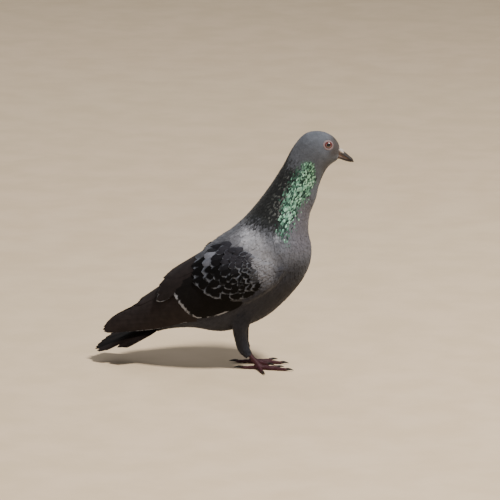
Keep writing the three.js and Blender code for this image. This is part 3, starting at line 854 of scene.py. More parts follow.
def arm_form(side):
    """The folded arm under the wing's coverts: their solid, drawn in where it faces outwards."""
    arm = node_copy(f"wing_{side}_coverts")
    points, normals = get_points(arm), get_normals(arm)
    _, outward = wing.lie(*wing.locate(points))
    facing = smooth(-0.1, 0.5, (normals * outward).sum(1))
    set_points(arm, points - normals * (facing * ARM_INSET * MM)[:, None])
    return arm


def thigh_form(side):
    """A thigh whose upper end sinks gradually into the flank."""
    thigh = node_copy("thigh_" + side, -THIGH_INSET * MM)
    points = get_points(thigh)
    t, angle = body.locate(points)
    _, outward = body.lie(t, angle)
    _, z = side_view(points)
    sunk = fade("thigh_sunk", z) * np.maximum(outside(body, points, t) + 1.5, 0)
    drawn = (1 - fade("thigh_foot", z))[:, None] * MM * np.array(THIGH_REACH)
    set_points(thigh, points - outward * (sunk * MM)[:, None] + drawn)
    return thigh


def scale_relief(node, points, normals):
    """The relief of one toe or tarsus at points near it, their shade, and how far off they lie."""
    own, middle, axis = long_axis(node)
    along, span = (points - middle) @ axis, (own - middle) @ axis
    low, high = span.min(), span.max()
    off = np.linalg.norm(points - middle - np.clip(along, low, high)[:, None] * axis, axis=1)
    if node.startswith("foot_pad"):
        return np.zeros(len(points)), np.full(len(points), 0.9), off
    is_toe = node.startswith("toe")
    upper = smooth(-0.1, 0.45, normals[:, 2] if is_toe else normals[:, 0])
    period = SCALE_LENGTH[node.split("_")[0]] * MM
    phase = (along / period + 0.12 * np.sin(points[:, 1] * 900)) % 1.0
    groove = 1 - smooth(0.0, 0.16, np.minimum(phase, 1 - phase))
    lumps, more_lumps = (np.sin(points @ np.array(wave)) for wave in GRANULE_WAVES)
    joints, end = 0, 0
    if is_toe:
        joints = TOE_JOINT * np.cos(2 * math.pi * along / ((high - low) / 3))
        claw = long_axis(node.replace("toe", "claw"))[1]
        ahead = axis @ (claw - middle) > 0
        onward, last = (along, high) if ahead else (-along, -low)
        end = smooth(last - 2.4 * MM, last + 0.4 * MM, onward)
    relief = -SCALE_GROOVE * groove * upper + GRANULE * (lumps * more_lumps) * (1 - upper)
    relief = relief + joints * (1 - 0.5 * upper) - TOE_END * end
    return relief, 1 - 0.5 * groove * upper, off


def leg_form():
    """Bare tarsi, pads and toes, closed up into one surface with rows of scales."""
    nodes = sorted(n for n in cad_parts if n.startswith(LEG_NODES))
    legs = remeshed("legs", [node_copy(n, LEG_GROWTH * MM) for n in nodes], LEG_VOXEL, 5)
    points, normals = get_points(legs), get_normals(legs)
    relief, shade, nearest = np.zeros(len(points)), np.ones(len(points)), np.full(len(points), np.inf)
    for node in nodes:
        raised, dark, off = scale_relief(node, points, normals)
        here = off < nearest
        relief[here], shade[here], nearest[here] = raised[here], dark[here], off[here]
    moved = points + normals * ((relief - LEG_SHRINK) * MM)[:, None]
    moved[:, 2] = np.maximum(moved[:, 2], 0.0)
    set_points(legs, moved)
    return legs, shade


def eye_ring(side, skin):
    """The bare ring round one eye with both lids: a rounded rim on the eyeball, and granules on the skin."""
    centre, look, ahead, up = eye_frame(side)
    way = turns(96)
    rings = []
    for radius, height, over_skin in LID_ROWS:
        wide, tall = radius * (1 + 0.05 * np.cos(way) ** 2), radius * (1 - 0.04 * np.sin(way) ** 2)
        flat = centre + MM * ((wide * np.cos(way))[:, None] * ahead + (tall * np.sin(way))[:, None] * up)
        level = np.full(len(way), height or 0.0)
        if over_skin is not None:
            hits = [skin.ray_cast(Vector(p + 0.03 * look), Vector(-look))[0] for p in flat]
            draped = np.array([(np.array(hit) - centre) @ look for hit in hits]) / MM + over_skin
            level = draped if height is None else (draped + level) / 2
            if over_skin > 0:
                level = np.maximum(level, math.sqrt(EYE["radius"] ** 2 - radius**2) + 0.3)
        bumps = 0.09 * np.sin(way * 30 + radius * 9) * (4 < radius < 5.2)
        rings.append(flat + MM * (level + bumps)[:, None] * look)
    ring = mesh_object("eye_ring", np.concatenate(rings), net_faces(len(rings), len(way), True))
    face_outwards(ring.data)
    return ring


def build_skin(sizes, colours, bare):
    """The one skin, with its markings, and the part of it that carries feathers."""
    thighs = [thigh_form(side) for side in SIDES]
    arms = [arm_form(side) for side in SIDES]
    trunk = remeshed("skin", [body_form(sizes), *thighs, *arms], SKIN_VOXEL, 8)
    points, normals = get_points(trunk), get_normals(trunk)
    tint, _ = plumage_colour(points, colours)
    legs, shade = leg_form()
    legs_colour = np.array(bare.legs)
    # Painted shade: toes and pads that face down are darkened to three quarters of the legs' red.
    sole_shade = smooth(-0.3, -0.9, get_normals(legs)[:, 2])
    # The skin takes the coat's colour darkened to 0.8: painted shade in the gaps between the feathers.
    put_attributes(trunk.data, tint=tint * 0.8)
    put_attributes(legs.data, tint=mix(legs_colour * shade[:, None], legs_colour * 0.75, sole_shade))
    polygons = [tuple(face.vertices) for face in trunk.data.polygons]
    surface = BVHTree.FromPolygons([tuple(p) for p in points], polygons)
    rings = [eye_ring(side, surface) for side in SIDES.values()]
    for ring in rings:
        put_attributes(ring.data, tint=np.tile(bare.eye_ring, (len(ring.data.vertices), 1)))
    trunk.data.calc_loop_triangles()
    triangles = np.array([tuple(triangle.vertices) for triangle in trunk.data.loop_triangles])
    ground = {"points": points, "normals": normals, "triangles": triangles, "tree": surface}
    return joined("skin", [trunk, legs, *rings]), ground


# ------------------------------------------------------------------ small feathers
# The lower edge of the folded wing, seen from the side: what lies well above it is hidden.
WING_EDGE = ((-160, 33), (-125, 35), (-99, 38), (-72, 45), (-49, 54), (-24, 64), (-6, 72), (8, 79))
# The rear edge of the wing's coverts, from the breast round to the back, and the place they fan out from.
COVERT_EDGE = [
    (-1, 82), (-12, 78.6), (-25, 77), (-36, 78), (-46, 81.5),
    (-54, 87.5), (-60, 95), (-63, 104), (-62.5, 114), (-58, 125), (-53, 134),
]
COVERT_FOCUS = (24, 115)
SMALL_COVERTS = 0.36
# The way that feathers lie on the folded wing, seen from the side, and the way they hang on the thighs.
WING_LIE = (-0.86, -0.5)
THIGH_LIE = (-0.2, 0, -1.0)
# How many roots are tried for each that the spacing has room for.
TRIES = 5
# Thighs and folded arms, seen from the side: where they begin and end, and how far they stand out from the
# trunk. Then how far down the underside of a thigh faces, where it carries no feathers.
THIGH_TOP = 58
THIGH_REAR = -34
THIGH_FRONT = 12
ARM_FRONT = 36
THIGH_OUT = 0.2
ARM_OUT = 0.6
THIGH_UNDERSIDE = -0.55
# Where the flank goes under the wing, the mantle under the tertials, and where those end on the rump.
# Then how far above the wing's lower edge, and how far out among the coverts, the skin is covered.
FLANK_END = -50
MANTLE_END = -49
TERTIALS_END = -80
EDGE_MARGIN = 9
COVERT_END = 0.97
# How far the feathers round an eye turn outwards, and how far aside.
EYE_TURN = 0.95
EYE_SWEEP = 0.4


def covert_reach(x, z):
    """How far out places lie among the wing's coverts: 0 at the focus, 1 at their rear edge."""
    dx, dz = (along_table(COVERT_EDGE, 120) - COVERT_FOCUS).T
    heading = np.unwrap(np.arctan2(dz, dx) % (2 * math.pi))
    own_x, own_z = x - COVERT_FOCUS[0], z - COVERT_FOCUS[1]
    own = np.arctan2(own_z, own_x) % (2 * math.pi)
    order = np.argsort(heading)
    reach = np.interp(own, heading[order], np.hypot(dx, dz)[order], left=np.inf, right=np.inf)
    return np.hypot(own_x, own_z) / reach


def outside(hull, points, t):
    """How far points lie outside a hull, in millimetres."""
    centre, axis, reach, half, _ = hull.section(t)
    height = ((points[:, [0, 2]] - centre) * axis).sum(-1)
    return (np.sqrt((points[:, 1] / half) ** 2 + (height / reach) ** 2) - 1) * np.minimum(half, reach) / MM


def row_spacing(t, front, on_arm, on_thigh, sizes):
    """The distance between feather roots: least on the face, most on the back."""
    spacing = sizes.head_spacing * (0.85 + 0.25 * fade("past_bill", t))
    spacing = spacing + (sizes.neck_spacing - 1.1 * sizes.head_spacing) * fade("neck_rows", t)
    body_spacing = sizes.body_spacing * (1 + 0.45 * (1 - fade("back_rows", front)))
    spacing = spacing + (body_spacing - sizes.neck_spacing) * fade("body_rows", t)
    spacing = np.where(on_arm, np.minimum(spacing, sizes.body_spacing), spacing)
    return np.where(on_thigh, sizes.thigh_spacing, spacing)


def round_eye(points, side):
    """How far points lie from the line of sight of one eye, in millimetres, and the way out from it."""
    centre, look, _, _ = eye_frame(side)
    rel = points - centre
    flat = rel - (rel @ look)[:, None] * look
    far = np.linalg.norm(flat, axis=1) / MM
    return np.where(points[:, 1] * side > 0, far, np.inf), unit(flat)


def kept_roots(places, gaps):
    """The places that are left when none may stand nearer to an earlier one than its gap."""
    tree = search_tree(places)
    free = np.ones(len(places), bool)
    kept = []
    for i, place in enumerate(places):
        if free[i]:
            kept.append(i)
            free[[found[1] for found in tree.find_range(place, gaps[i])]] = False
    return kept


def covered(points, t, front, on_arm):
    """Which places carry no small feathers, because wings, coverts, tertials or the bill cover them."""
    x, z = side_view(points)
    y = np.abs(points[:, 1]) / MM
    over_edge = z > np.interp(x, *np.array(WING_EDGE, float).T) + EDGE_MARGIN
    reach = covert_reach(x, z)
    below_wing = (x < FLANK_END) & over_edge & ~on_arm & (front > 0.25)
    below_wing |= (x < FLANK_END - 20) & over_edge & (front > 0.2)
    below_coverts = (reach > SMALL_COVERTS + 0.08) & (reach < COVERT_END) & (x < -8) & (t > 7.6) & (y > 20)
    below_coverts |= on_arm & (reach >= COVERT_END) & (x < -6)
    mantle_end = MANTLE_END + 2.5 * np.cos(0.9 * points[:, 1] / MM)
    below_tertials = (x < FLANK_END) & (front < 0.35) | (x < mantle_end) & (front < 0.2)
    behind_bill = (t < 0.5) & (z > 214) & (z < 223.5) & (y < 3.2)
    return below_wing | below_coverts | below_tertials & (x > TERTIALS_END) | behind_bill


def place_roots(ground, sizes, rng):
    """Feather roots over the skin, no two nearer than the local spacing, with what each one needs."""
    points, normals, triangles = ground["points"], ground["normals"], ground["triangles"]
    t, angle = body.locate(points)
    out, front = outside(body, points, t), np.abs(angle) / math.pi
    x, z = side_view(points)
    on_thigh = (out > THIGH_OUT) & (z < THIGH_TOP) & (x > THIGH_REAR) & (x < THIGH_FRONT)
    on_arm = (out > ARM_OUT) & (z > THIGH_TOP) & (x < ARM_FRONT)
    spacing = row_spacing(t, front, on_arm, on_thigh, sizes)
    hidden = covered(points, t, front, on_arm) | (on_thigh & (normals[:, 2] < THIGH_UNDERSIDE))
    for side in SIDES.values():
        off, _ = round_eye(points, side)
        hidden |= off < EYE_RING - 0.2
        spacing = spacing * (0.7 + 0.3 * fade("from_eye", off))
    corners = points[triangles]
    area = np.linalg.norm(np.cross(corners[:, 1] - corners[:, 0], corners[:, 2] - corners[:, 0]), axis=1) / 2
    weight = area / spacing[triangles].mean(1) ** 2 * ~hidden[triangles].any(1)
    tries = int(weight.sum() * TRIES)
    chosen = np.searchsorted(np.cumsum(weight), rng.random(tries) * weight.sum())
    share = rng.dirichlet((1, 1, 1), tries)
    picked = triangles[np.minimum(chosen, len(triangles) - 1)]
    places = (points[picked] * share[..., None]).sum(1)
    gaps = (spacing[picked] * share).sum(1)
    kept = kept_roots(places, gaps)
    picked, share, places = picked[kept], share[kept], places[kept]
    t, angle = body.locate(places)
    return {
        "places": places,
        "normals": unit((normals[picked] * share[..., None]).sum(1)),
        "gaps": gaps[kept],
        "t": t,
        "angle": angle,
        "on_arm": on_arm[picked].any(1),
        "on_thigh": on_thigh[picked].any(1),
    }


def feather_lie(roots, ground, sizes):
    """The way each small feather points, from its root to where its tip comes to lie, and its normal."""
    places, normals = roots["places"], roots["normals"]
    along, _ = body.lie(roots["t"], roots["angle"])
    arm_way = unit(np.array([WING_LIE[0], 0, WING_LIE[1]]))
    back = np.where(roots["on_arm"][:, None], arm_way, along)
    _, z = side_view(places)
    hanging = roots["on_thigh"] * (1 - fade("thigh_top", z))
    back = mix(back, unit(np.array(THIGH_LIE)), hanging)
    for side in SIDES.values():
        off, out = round_eye(places, side)
        inward = np.minimum((back * out).sum(1), 0)[:, None]
        aside = np.cross(normals, out)
        aside = aside * np.where((aside * back).sum(1) < 0, -1, 1)[:, None]
        near = (1 - fade("round_eye", np.minimum(off, 99)))[:, None]
        back = back + near * inward * (-EYE_TURN * out - EYE_SWEEP * aside)
    back = unit(back - (back * normals).sum(1)[:, None] * normals)
    length = roots["gaps"] * sizes.overlap
    aimed = places + back * length[:, None]
    tips = np.array([ground["tree"].find_nearest(p)[0] for p in aimed])
    chord = unit(tips - places)
    ahead = np.where((chord * back).sum(1)[:, None] > 0.6, chord, back)
    across = unit(np.cross(normals, ahead))
    return ahead, across, unit(np.cross(ahead, across))


def to_euler(ahead, across, up):
    """Euler angles of the turn that takes X to ahead, Y to across and Z to up."""
    pitch = np.arcsin(np.clip(-ahead[:, 2], -1, 1))
    return np.stack([np.arctan2(across[:, 2], up[:, 2]), pitch, np.arctan2(ahead[:, 1], ahead[:, 0])], 1)


# The outlines of the small feathers, root to tip, and the places of the points along their shafts.
BODY_VANE = (
    [(0, 0), (0.09, 0.22), (0.3, 0.42), (0.56, 0.5), (0.79, 0.44), (0.94, 0.26), (1, 0)],
    [0.14, 0.4, 0.66, 0.87],
)
HEAD_VANE = ([(0, 0), (0.35, 0.46), (0.78, 0.38), (1, 0)], [0.35, 0.78])
VANE_THICK = 0.05
VANE_ARCH = 0.2
SIZE_VARIATION = 0.14
FEATHER_WIDTH = 1.6
THIGH_COAT = 1.1
# Half the size of a small feather's patch on the bake map.
BAKE_PATCH = 0.0015


def vane_height(x):
    """How high a small vane stands over its root: it rises fast, then lies almost level."""
    return 0.86 * (1 - (1 - x) ** 3) + 0.14 * x


def unit_vane(name, outline, ridge):
    """A small feather, one long and one wide, with its depth from 0 at the root to 1 at the tip."""
    last = len(outline) - 1
    rim = outline + [(x, -y) for x, y in outline[1:last]]
    points = [(x, y, vane_height(x) - VANE_ARCH * (2 * y) ** 2 * x) for x, y in rim]
    top = len(points)
    for lift in (VANE_THICK / 2, -VANE_THICK / 2):
        points += [(x, 0, vane_height(x) + lift) for x in ridge]
    faces = []
    for side in (0, 1):
        chain = [k if side == 0 or k in (0, last) else last + k for k in range(last + 1)]
        for base in (top, top + len(ridge)):
            at = 0
            for k in range(last):
                faces.append((chain[k], chain[k + 1], base + at))
                passed = at + 1 < len(ridge) and outline[k + 1][0] > (ridge[at] + ridge[at + 1]) / 2 - 0.2
                if passed:
                    faces.append((chain[k + 1], base + at + 1, base + at))
                    at += 1
    vane = mesh_object(name, points, faces)
    face_outwards(vane.data)
    sharp = [max(edge.vertices) < top for edge in vane.data.edges]
    vane.data.edges.foreach_set("use_edge_sharp", sharp)
    smooth_faces(vane.data)
    put_attributes(vane.data, along=[p[0] for p in points], across=[2 * p[1] for p in points])
    return vane


BED_INPUTS = {
    "Geometry": "NodeSocketGeometry", "Vane": "NodeSocketObject", "Material": "NodeSocketMaterial",
    "Ruffle": "NodeSocketFloat", "Size variation": "NodeSocketFloat", "Seed": "NodeSocketInt",
}


def bed_tree():
    """The node tree that grows one vane on each root, turned, sized and ruffled, as plain geometry."""
    tree = bpy.data.node_groups.new("FeatherBed", "GeometryNodeTree")
    ids = {}
    for label, kind in BED_INPUTS.items():
        ids[label] = tree.interface.new_socket(label, in_out="INPUT", socket_type=kind).identifier
    tree.interface.new_socket("Geometry", in_out="OUTPUT", socket_type="NodeSocketGeometry")
    graph = Graph(tree)
    given = graph.node("NodeGroupInput").outputs

    def add(kind, output, inputs, **settings):
        return graph.node(kind, inputs, **settings).outputs[output]

    vane = add("GeometryNodeObjectInfo", "Geometry", {"Object": given["Vane"]})
    lie, size = (
        add("GeometryNodeInputNamedAttribute", "Attribute", {"Name": name}, data_type="FLOAT_VECTOR")
        for name in ("lie", "size")
    )
    base = add("FunctionNodeEulerToRotation", "Rotation", {"Euler": lie})
    limits = {"Min": (-1.0, -0.35, -1.0), "Max": (1.0, 0.35, 1.0), "Seed": given["Seed"]}
    turn = add("FunctionNodeRandomValue", "Value", limits, data_type="FLOAT_VECTOR")
    ruffled = add("FunctionNodeEulerToRotation", "Rotation", {"Euler": graph.scaled(turn, given["Ruffle"])})
    turned = {"Rotation": base, "Rotate By": ruffled}
    rotation = add("FunctionNodeRotateRotation", "Rotation", turned, rotation_space="LOCAL")
    least, most = (graph.math(way, 1.0, given["Size variation"]) for way in ("SUBTRACT", "ADD"))
    seed = graph.math("ADD", given["Seed"], 7.0)
    grown = add("FunctionNodeRandomValue", 1, {2: least, 3: most, "Seed": seed}, data_type="FLOAT")
    planted = {"Points": given["Geometry"], "Instance": vane, "Rotation": rotation}
    planted["Scale"] = graph.scaled(size, grown)
    instances = add("GeometryNodeInstanceOnPoints", "Instances", planted)
    real = add("GeometryNodeRealizeInstances", "Geometry", {"Geometry": instances})
    dressed = {"Geometry": real, "Material": given["Material"]}
    final = add("GeometryNodeSetMaterial", "Geometry", dressed)
    graph.feed(graph.node("NodeGroupOutput").inputs["Geometry"], final)
    return tree, ids


def feather_bed(name, roots, chosen, shape, material, ruffle, seed):
    """One coat piece: a small feather on each chosen root."""
    tree, ids = bed_tree()
    roots = {label: values[chosen] for label, values in roots.items()}
    bed = mesh_object(name, roots["places"], [])
    spread = roots["uv"]
    low, high = spread.min(0), spread.max(0)
    root_u, root_v = (0.01 + 0.98 * (spread - low) / (high - low)).T
    put_attributes(
        bed.data, lie=to_euler(roots["ahead"], roots["across"], roots["up"]), size=roots["size"],
        tint=roots["tint"], gloss=roots["gloss"], root_u=root_u, root_v=root_v,
    )
    grow = bed.modifiers.new("Feathers", "NODES")
    grow.node_group = tree
    for label, value in (
        ("Vane", shape), ("Material", material), ("Ruffle", ruffle), ("Size variation", SIZE_VARIATION),
        ("Seed", seed),
    ):
        grow[ids[label]] = value
    bed = applied(bed, name)
    mesh = bed.data
    u = read_attribute(mesh, "root_u") + BAKE_PATCH * (2 * read_attribute(mesh, "along") - 1)
    v = read_attribute(mesh, "root_v") + BAKE_PATCH * read_attribute(mesh, "across")
    put_bake_map(mesh, np.stack([u, v], 1))
    for spare in ("lie", "size", "root_u", "root_v"):
        if spare in mesh.attributes:
            mesh.attributes.remove(mesh.attributes[spare])
    return bed


# ------------------------------------------------------------------ large feathers
SHAFT_STEPS = 13
VANE_STEPS = 7
VANE_POINTS = SHAFT_STEPS * VANE_STEPS
VANE_BASE = 0.3
ROUND_TIP = 0.62
NO_FRINGE = (0.0, 0.0, 0.0)


def half_width(s, tip):
    """The outline of a large feather: its half width at s along it, at most 1."""
    swell = VANE_BASE + (1 - VANE_BASE) * smooth(0.0, 0.4, s)
    beyond = np.clip((s - tip) / (1 - tip), 0, 1)
    return swell * np.sqrt(np.maximum(1 - beyond**2, 0.015))


def vane_faces():
    """The faces of a vane, over a net of points for each of its sides, and the points round its rim."""
    grid = np.arange(VANE_POINTS).reshape(SHAFT_STEPS, VANE_STEPS)
    faces = []
    for row, onward in zip(grid, grid[1:]):
        for a, b, c, d in zip(row, row[1:], onward[1:], onward):
            faces += [(a, b, c, d), (a + VANE_POINTS, d + VANE_POINTS, c + VANE_POINTS, b + VANE_POINTS)]
    rim = [*grid[0, :-1], *grid[:-1, -1], *grid[-1, :0:-1], *grid[:0:-1, 0]]
    for a, b in zip(rim, rim[1:] + rim[:1]):
        faces.append((a, a + VANE_POINTS, b + VANE_POINTS, b))
    return np.array(faces), rim


def rim_distance(flat, length, width, end):
    """How far places on a flat vane lie from its rim, in millimetres."""
    fine = np.linspace(0.12, 1, 60)
    rim = np.stack([fine * length, half_width(fine, end) * width / 2], -1)
    tip = np.stack([np.full(9, length), np.linspace(-1, 1, 9) * rim[-1, 1]], -1)
    rim = np.concatenate([rim, rim * [1, -1], tip])
    return np.linalg.norm(flat[:, None] - rim[None], axis=-1).min(1)


def fringe_weight(s, w, skew, tipward):
    """How wide the pale fringe is at a place on the vane, against its full width."""
    along = 1 - tipward * (1 - smooth(0.55, 0.92, s))
    if tipward < 0:
        along = smooth(0.45, 0.7, s) * (1 - smooth(0.86, 0.97, s))
    return np.maximum(1 + skew * w, 0) * along


class Plumes:
    """Collects large feathers, each a thin closed vane laid over a form, into one mesh."""

    def __init__(self, columns, rows):
        self.columns, self.rows = columns, rows
        self.faces, self.rim = vane_faces()
        self.points = []
        self.values = {label: [] for label in ("tint", "along", "across", "edge", "fringe", "uv")}

    def add(
        self, surface, root, tip, lift, tint, fringe, bend, width, arch, end=ROUND_TIP, thick=0.16, droop=0.0
    ):
        """surface(a, b, lift) is the form; root and tip are places on it; sizes are in millimetres.
        fringe is the pale fringe's width, how much wider it is to one side, and how far it keeps to the tip,
        or -1 for a fringe on both edges of a vane with a dark tip."""
        root, tip = np.asarray(root, float), np.asarray(tip, float)
        s = np.linspace(0, 1, SHAFT_STEPS)[:, None] ** 0.85
        w = np.linspace(-1, 1, VANE_STEPS)[None, :]
        middle = root + (tip - root) * 0.6
        step = 1e-3
        ways = [
            (surface(*(middle + d), 0.0) - surface(*(middle - d), 0.0)) / (2 * step)
            for d in (np.array([step, 0]), np.array([0, step]))
        ]
        metric = np.array([[a @ b for b in ways] for a in ways])
        axis = tip - root
        length = math.sqrt(axis @ metric @ axis)
        lowered = metric @ axis
        across = np.array([-lowered[1], lowered[0]])
        across = across / math.sqrt(across @ metric @ across)
        flat_side = w * half_width(s, end) * width / 2 * MM
        side = flat_side + bend * MM * s**2
        place = root + s[..., None] * axis + side[..., None] * across
        rise = lift[0] + (lift[1] - lift[0]) * (0.8 * (1 - (1 - s) ** 2.2) + 0.2 * s)
        height = (rise - arch * w * w * (0.3 + 0.7 * s) - droop * s**4) * MM
        under = height - thick * MM * (1 - 0.45 * w * w)
        flat = np.stack([s * length + 0 * w, flat_side], -1).reshape(-1, 2) / MM
        row, column = divmod(len(self.points), self.columns)
        cell_u = (column + 0.06 + 0.88 * s + 0 * w) / self.columns
        cell_v = (row + 0.5 + 0.44 * w + 0 * s) / self.rows
        upper_and_lower = [surface(place[..., 0], place[..., 1], level) for level in (height, under)]
        self.points.append(np.concatenate(upper_and_lower).reshape(-1, 3))
        for label, values in (
            ("tint", np.tile(tint, (VANE_POINTS, 1))),
            ("along", s + 0 * w),
            ("across", w + 0 * s),
            ("edge", rim_distance(flat, length / MM, width, end)),
            ("fringe", fringe[0] * fringe_weight(s, w, *fringe[1:])),
            ("uv", np.stack([cell_u, cell_v], -1)),
        ):
            self.values[label].append(np.concatenate([values.reshape(VANE_POINTS, -1)] * 2))

    def build(self, name):
        count = len(self.points)
        starts = 2 * VANE_POINTS * np.arange(count)
        faces = (self.faces[None] + starts[:, None, None]).reshape(-1, 4)
        made = mesh_object(name, np.concatenate(self.points), faces)
        mesh = made.data
        face_outwards(mesh)
        values = {label: np.concatenate(parts) for label, parts in self.values.items()}
        put_bake_map(mesh, values.pop("uv"))
        put_attributes(mesh, **values)
        on_rim = np.zeros(2 * VANE_POINTS, bool)
        on_rim[self.rim] = True
        ends = np.array([tuple(edge.vertices) for edge in mesh.edges])
        mesh.edges.foreach_set("use_edge_sharp", np.tile(on_rim, count)[ends].all(1))
        return made


def toward(a, b, share):
    return np.asarray(a, float) + (np.asarray(b, float) - np.asarray(a, float)) * share


# How far in from the rear edge each row of coverts ends, as a share of the way to the focus, and the
# distance between its feathers.
COVERT_ROWS = (
    (0.0, 8.6), (0.13, 8.0), (0.25, 7.3), (0.36, 6.5), (0.46, 5.8), (0.55, 5.0), (0.62, 4.3), (0.68, 3.7),
)
# Against the distance between them, the length of the coverts in the two outer rows and in the others, and
# their least and greatest width. Then how far they stray, and how far forward they reach.
COVERT_LENGTHS = (3.1, 2.8)
COVERT_WIDTHS = (1.4, 1.7)
COVERT_STRAY = 0.9
COVERT_FRONT = 5
# Up to which share of the coverts they are almost plain, have a fringe on one side, or on both edges. The
# others have it round the tip.
PLAIN_COVERTS = 0.14
ONE_SIDED_COVERTS = 0.42
EDGED_COVERTS = 0.74
BLUE_GREY = rgb(146, 150, 164)
SECONDARIES = 17
SECONDARY_ROOTS = ((-2, 80), (-38, 106))
SECONDARY_TIPS = [(-34, 65), (-47, 60.5), (-63, 59), (-74.5, 69.5), (-84, 83), (-87, 91)]
SECONDARY_INSET = 1.3
# Tertials seen from the side: root, tip, width and pale edge. Then those over the back, whose root and tip
# are places on the form.
TERTIALS = (
    ((-62, 104), (-99.5, 69.5), 13.5, 0.5), ((-52, 112), (-98.5, 76.5), 16, 0.25),
    ((-43, 119), (-97.5, 83.5), 17, 0.15), ((-35, 126), (-90, 91), 17, 0.1),
)
BACK_TERTIALS = (((2.35, 0.3), (5.2, 0.24), 17, 0.0), ((2.15, 0.1), (4.7, 0.1), 17, 0.0))
PRIMARY_ROOTS = ((-58, 52), (-52, 80))
PRIMARY_TIPS = (
    (-155.6, 32.4), (-156.8, 34.4), (-156.2, 37.2), (-153.6, 40.8), (-149, 44.6),
    (-142.8, 48.6), (-135.6, 52.2), (-128, 56.8), (-120.4, 62.2), (-113, 67.4),
)
BACK_PRIMARIES = (((0.2, 0.45), (4.05, 0.4)), ((0.2, 0.2), (3.85, 0.15)))
# The make of each kind of feather: how much it arches across, where its tip starts to round off, how much
# it bends to the side, and what else sets it apart. Widths and heights are in millimetres.
COVERT_MAKE = {"arch": 0.5, "droop": 0.25}
SECONDARY_MAKE = {"arch": 0.3, "end": 0.82, "width": 15.5}
TERTIAL_MAKE = {"arch": 0.5, "end": 0.72}
PRIMARY_MAKE = {"arch": 0.2, "end": 0.78}
TAIL_MAKE = {"arch": 0.25, "end": 0.88, "width": 9.5, "thick": 0.2}
BENDS = {"secondary": 1.5, "tertial": 1.0, "primary": 0.4, "tail": 0.5}
# How high the roots of coverts, tertials and primaries lie over the form, against their tips' height.
COVERT_ROOT = -2.4
TERTIAL_ROOTS = (-1.6, -4.0)
PRIMARY_ROOT = -2.4
PRIMARY_STEP = 0.24


def covert_size(x, z):
    """The size of the coverts against the largest of their row: less in front and along the back."""
    return (1 - 0.35 * fade("front_coverts", x)) * (1 - 0.42 * fade("back_coverts", z))


def covert_look(x, z, side, colours, rng):
    """The tint of one covert and its pale fringe, by its place on the wing, with painted light on the upper
    coverts.
    """
    dusky = float(fade("in_dusky", np.hypot((x - DUSKY_COVERTS[0]) / 1.25, z - DUSKY_COVERTS[1])))
    blue = float(fade("in_tuft", np.hypot(x - TUFT[0], z - TUFT[1])))
    tint = mix(colours.black, colours.dusky, dusky)
    tint = mix(tint, BLUE_GREY, 0.75 * blue * rng.uniform(0.5, 1))
    tint = mix(tint, colours.shoulder, 0.9 * shoulder_pale(x, z)[0])
    width = rng.uniform(1.5, 2.8) * (1 - 0.6 * dusky) + 0.9 * blue
    width += 1.6 * float(fade("net_x", abs(x - NET[0]))) * float(fade("net_z", abs(z - NET[1])))
    width *= 1 - 0.6 * float(fade("thin_fringes", z)) * (1 - blue)
    kind = rng.random()
    skew, tipward = side * rng.uniform(-0.3, 0.5), rng.uniform(0.3, 0.8)
    if kind < PLAIN_COVERTS:
        width *= 0.2
    elif kind < ONE_SIDED_COVERTS:
        skew, tipward = side * rng.choice([-1, 1]) * rng.uniform(0.7, 1.2), rng.uniform(0.1, 0.6)
    elif kind < EDGED_COVERTS:
        tipward = -1
    # Painted light from above: coverts high on the wing, by the shoulder, are lightened by up to 0.3.
    tint = tint * (1 + 0.3 * float(fade("painted_top_light", z)))
    return tint * rng.uniform(0.82, 1.18), (width, skew, tipward)


def build_coverts(side, colours, rng):
    """The rows of coverts over one folded wing, the longest at the rear and the bottom."""
    plumes = Plumes(18, 16)
    crest_x, crest_z = np.array(WINGS)[::-1, :2].T
    edge = along_table(COVERT_EDGE, 400)
    for row, (inward, gap) in reversed(list(enumerate(COVERT_ROWS))):
        arc = toward(edge, COVERT_FOCUS, inward)
        walked = np.linalg.norm(np.diff(arc, axis=0), axis=1) / covert_size(*arc[1:].T)
        walked = np.concatenate([[0], np.cumsum(walked)])
        count = max(3, round(walked[-1] / gap))
        for k in range(count):
            at = (k + (0.25 if row % 2 else 0.75)) / count * walked[-1] + rng.normal(0, COVERT_STRAY)
            tip = np.array([np.interp(at, walked, arc[:, axis]) for axis in (0, 1)])
            radial = unit(tip - np.array(COVERT_FOCUS))
            lie = unit(0.5 * radial + 0.55 * unit(np.array(WING_LIE)) + rng.normal(0, 0.1, 2))
            length = gap * COVERT_LENGTHS[row > 1] * rng.uniform(0.94, 1.08)
            tip = tip + lie * rng.normal(0, COVERT_STRAY)
            small = float(covert_size(*tip))
            root = tip - lie * length * small
            tint, fringe = covert_look(*(tip - lie * gap * 0.4), side, colours, rng)
            if tip[0] > COVERT_FRONT or tip[1] > np.interp(tip[0], crest_x, crest_z) - 1:
                continue
            lift = (COVERT_ROOT, 0.25 + 0.04 * row - 0.5 * float(fade("top_coverts", tip[1])))
            root, tip = wing.from_side(root, side), wing.from_side(tip, side)
            width, bend = gap * small * rng.uniform(*COVERT_WIDTHS), rng.normal(0, 0.7)
            plumes.add(wing.point, root, tip, lift, tint, fringe, bend, width, **COVERT_MAKE)
    return plumes


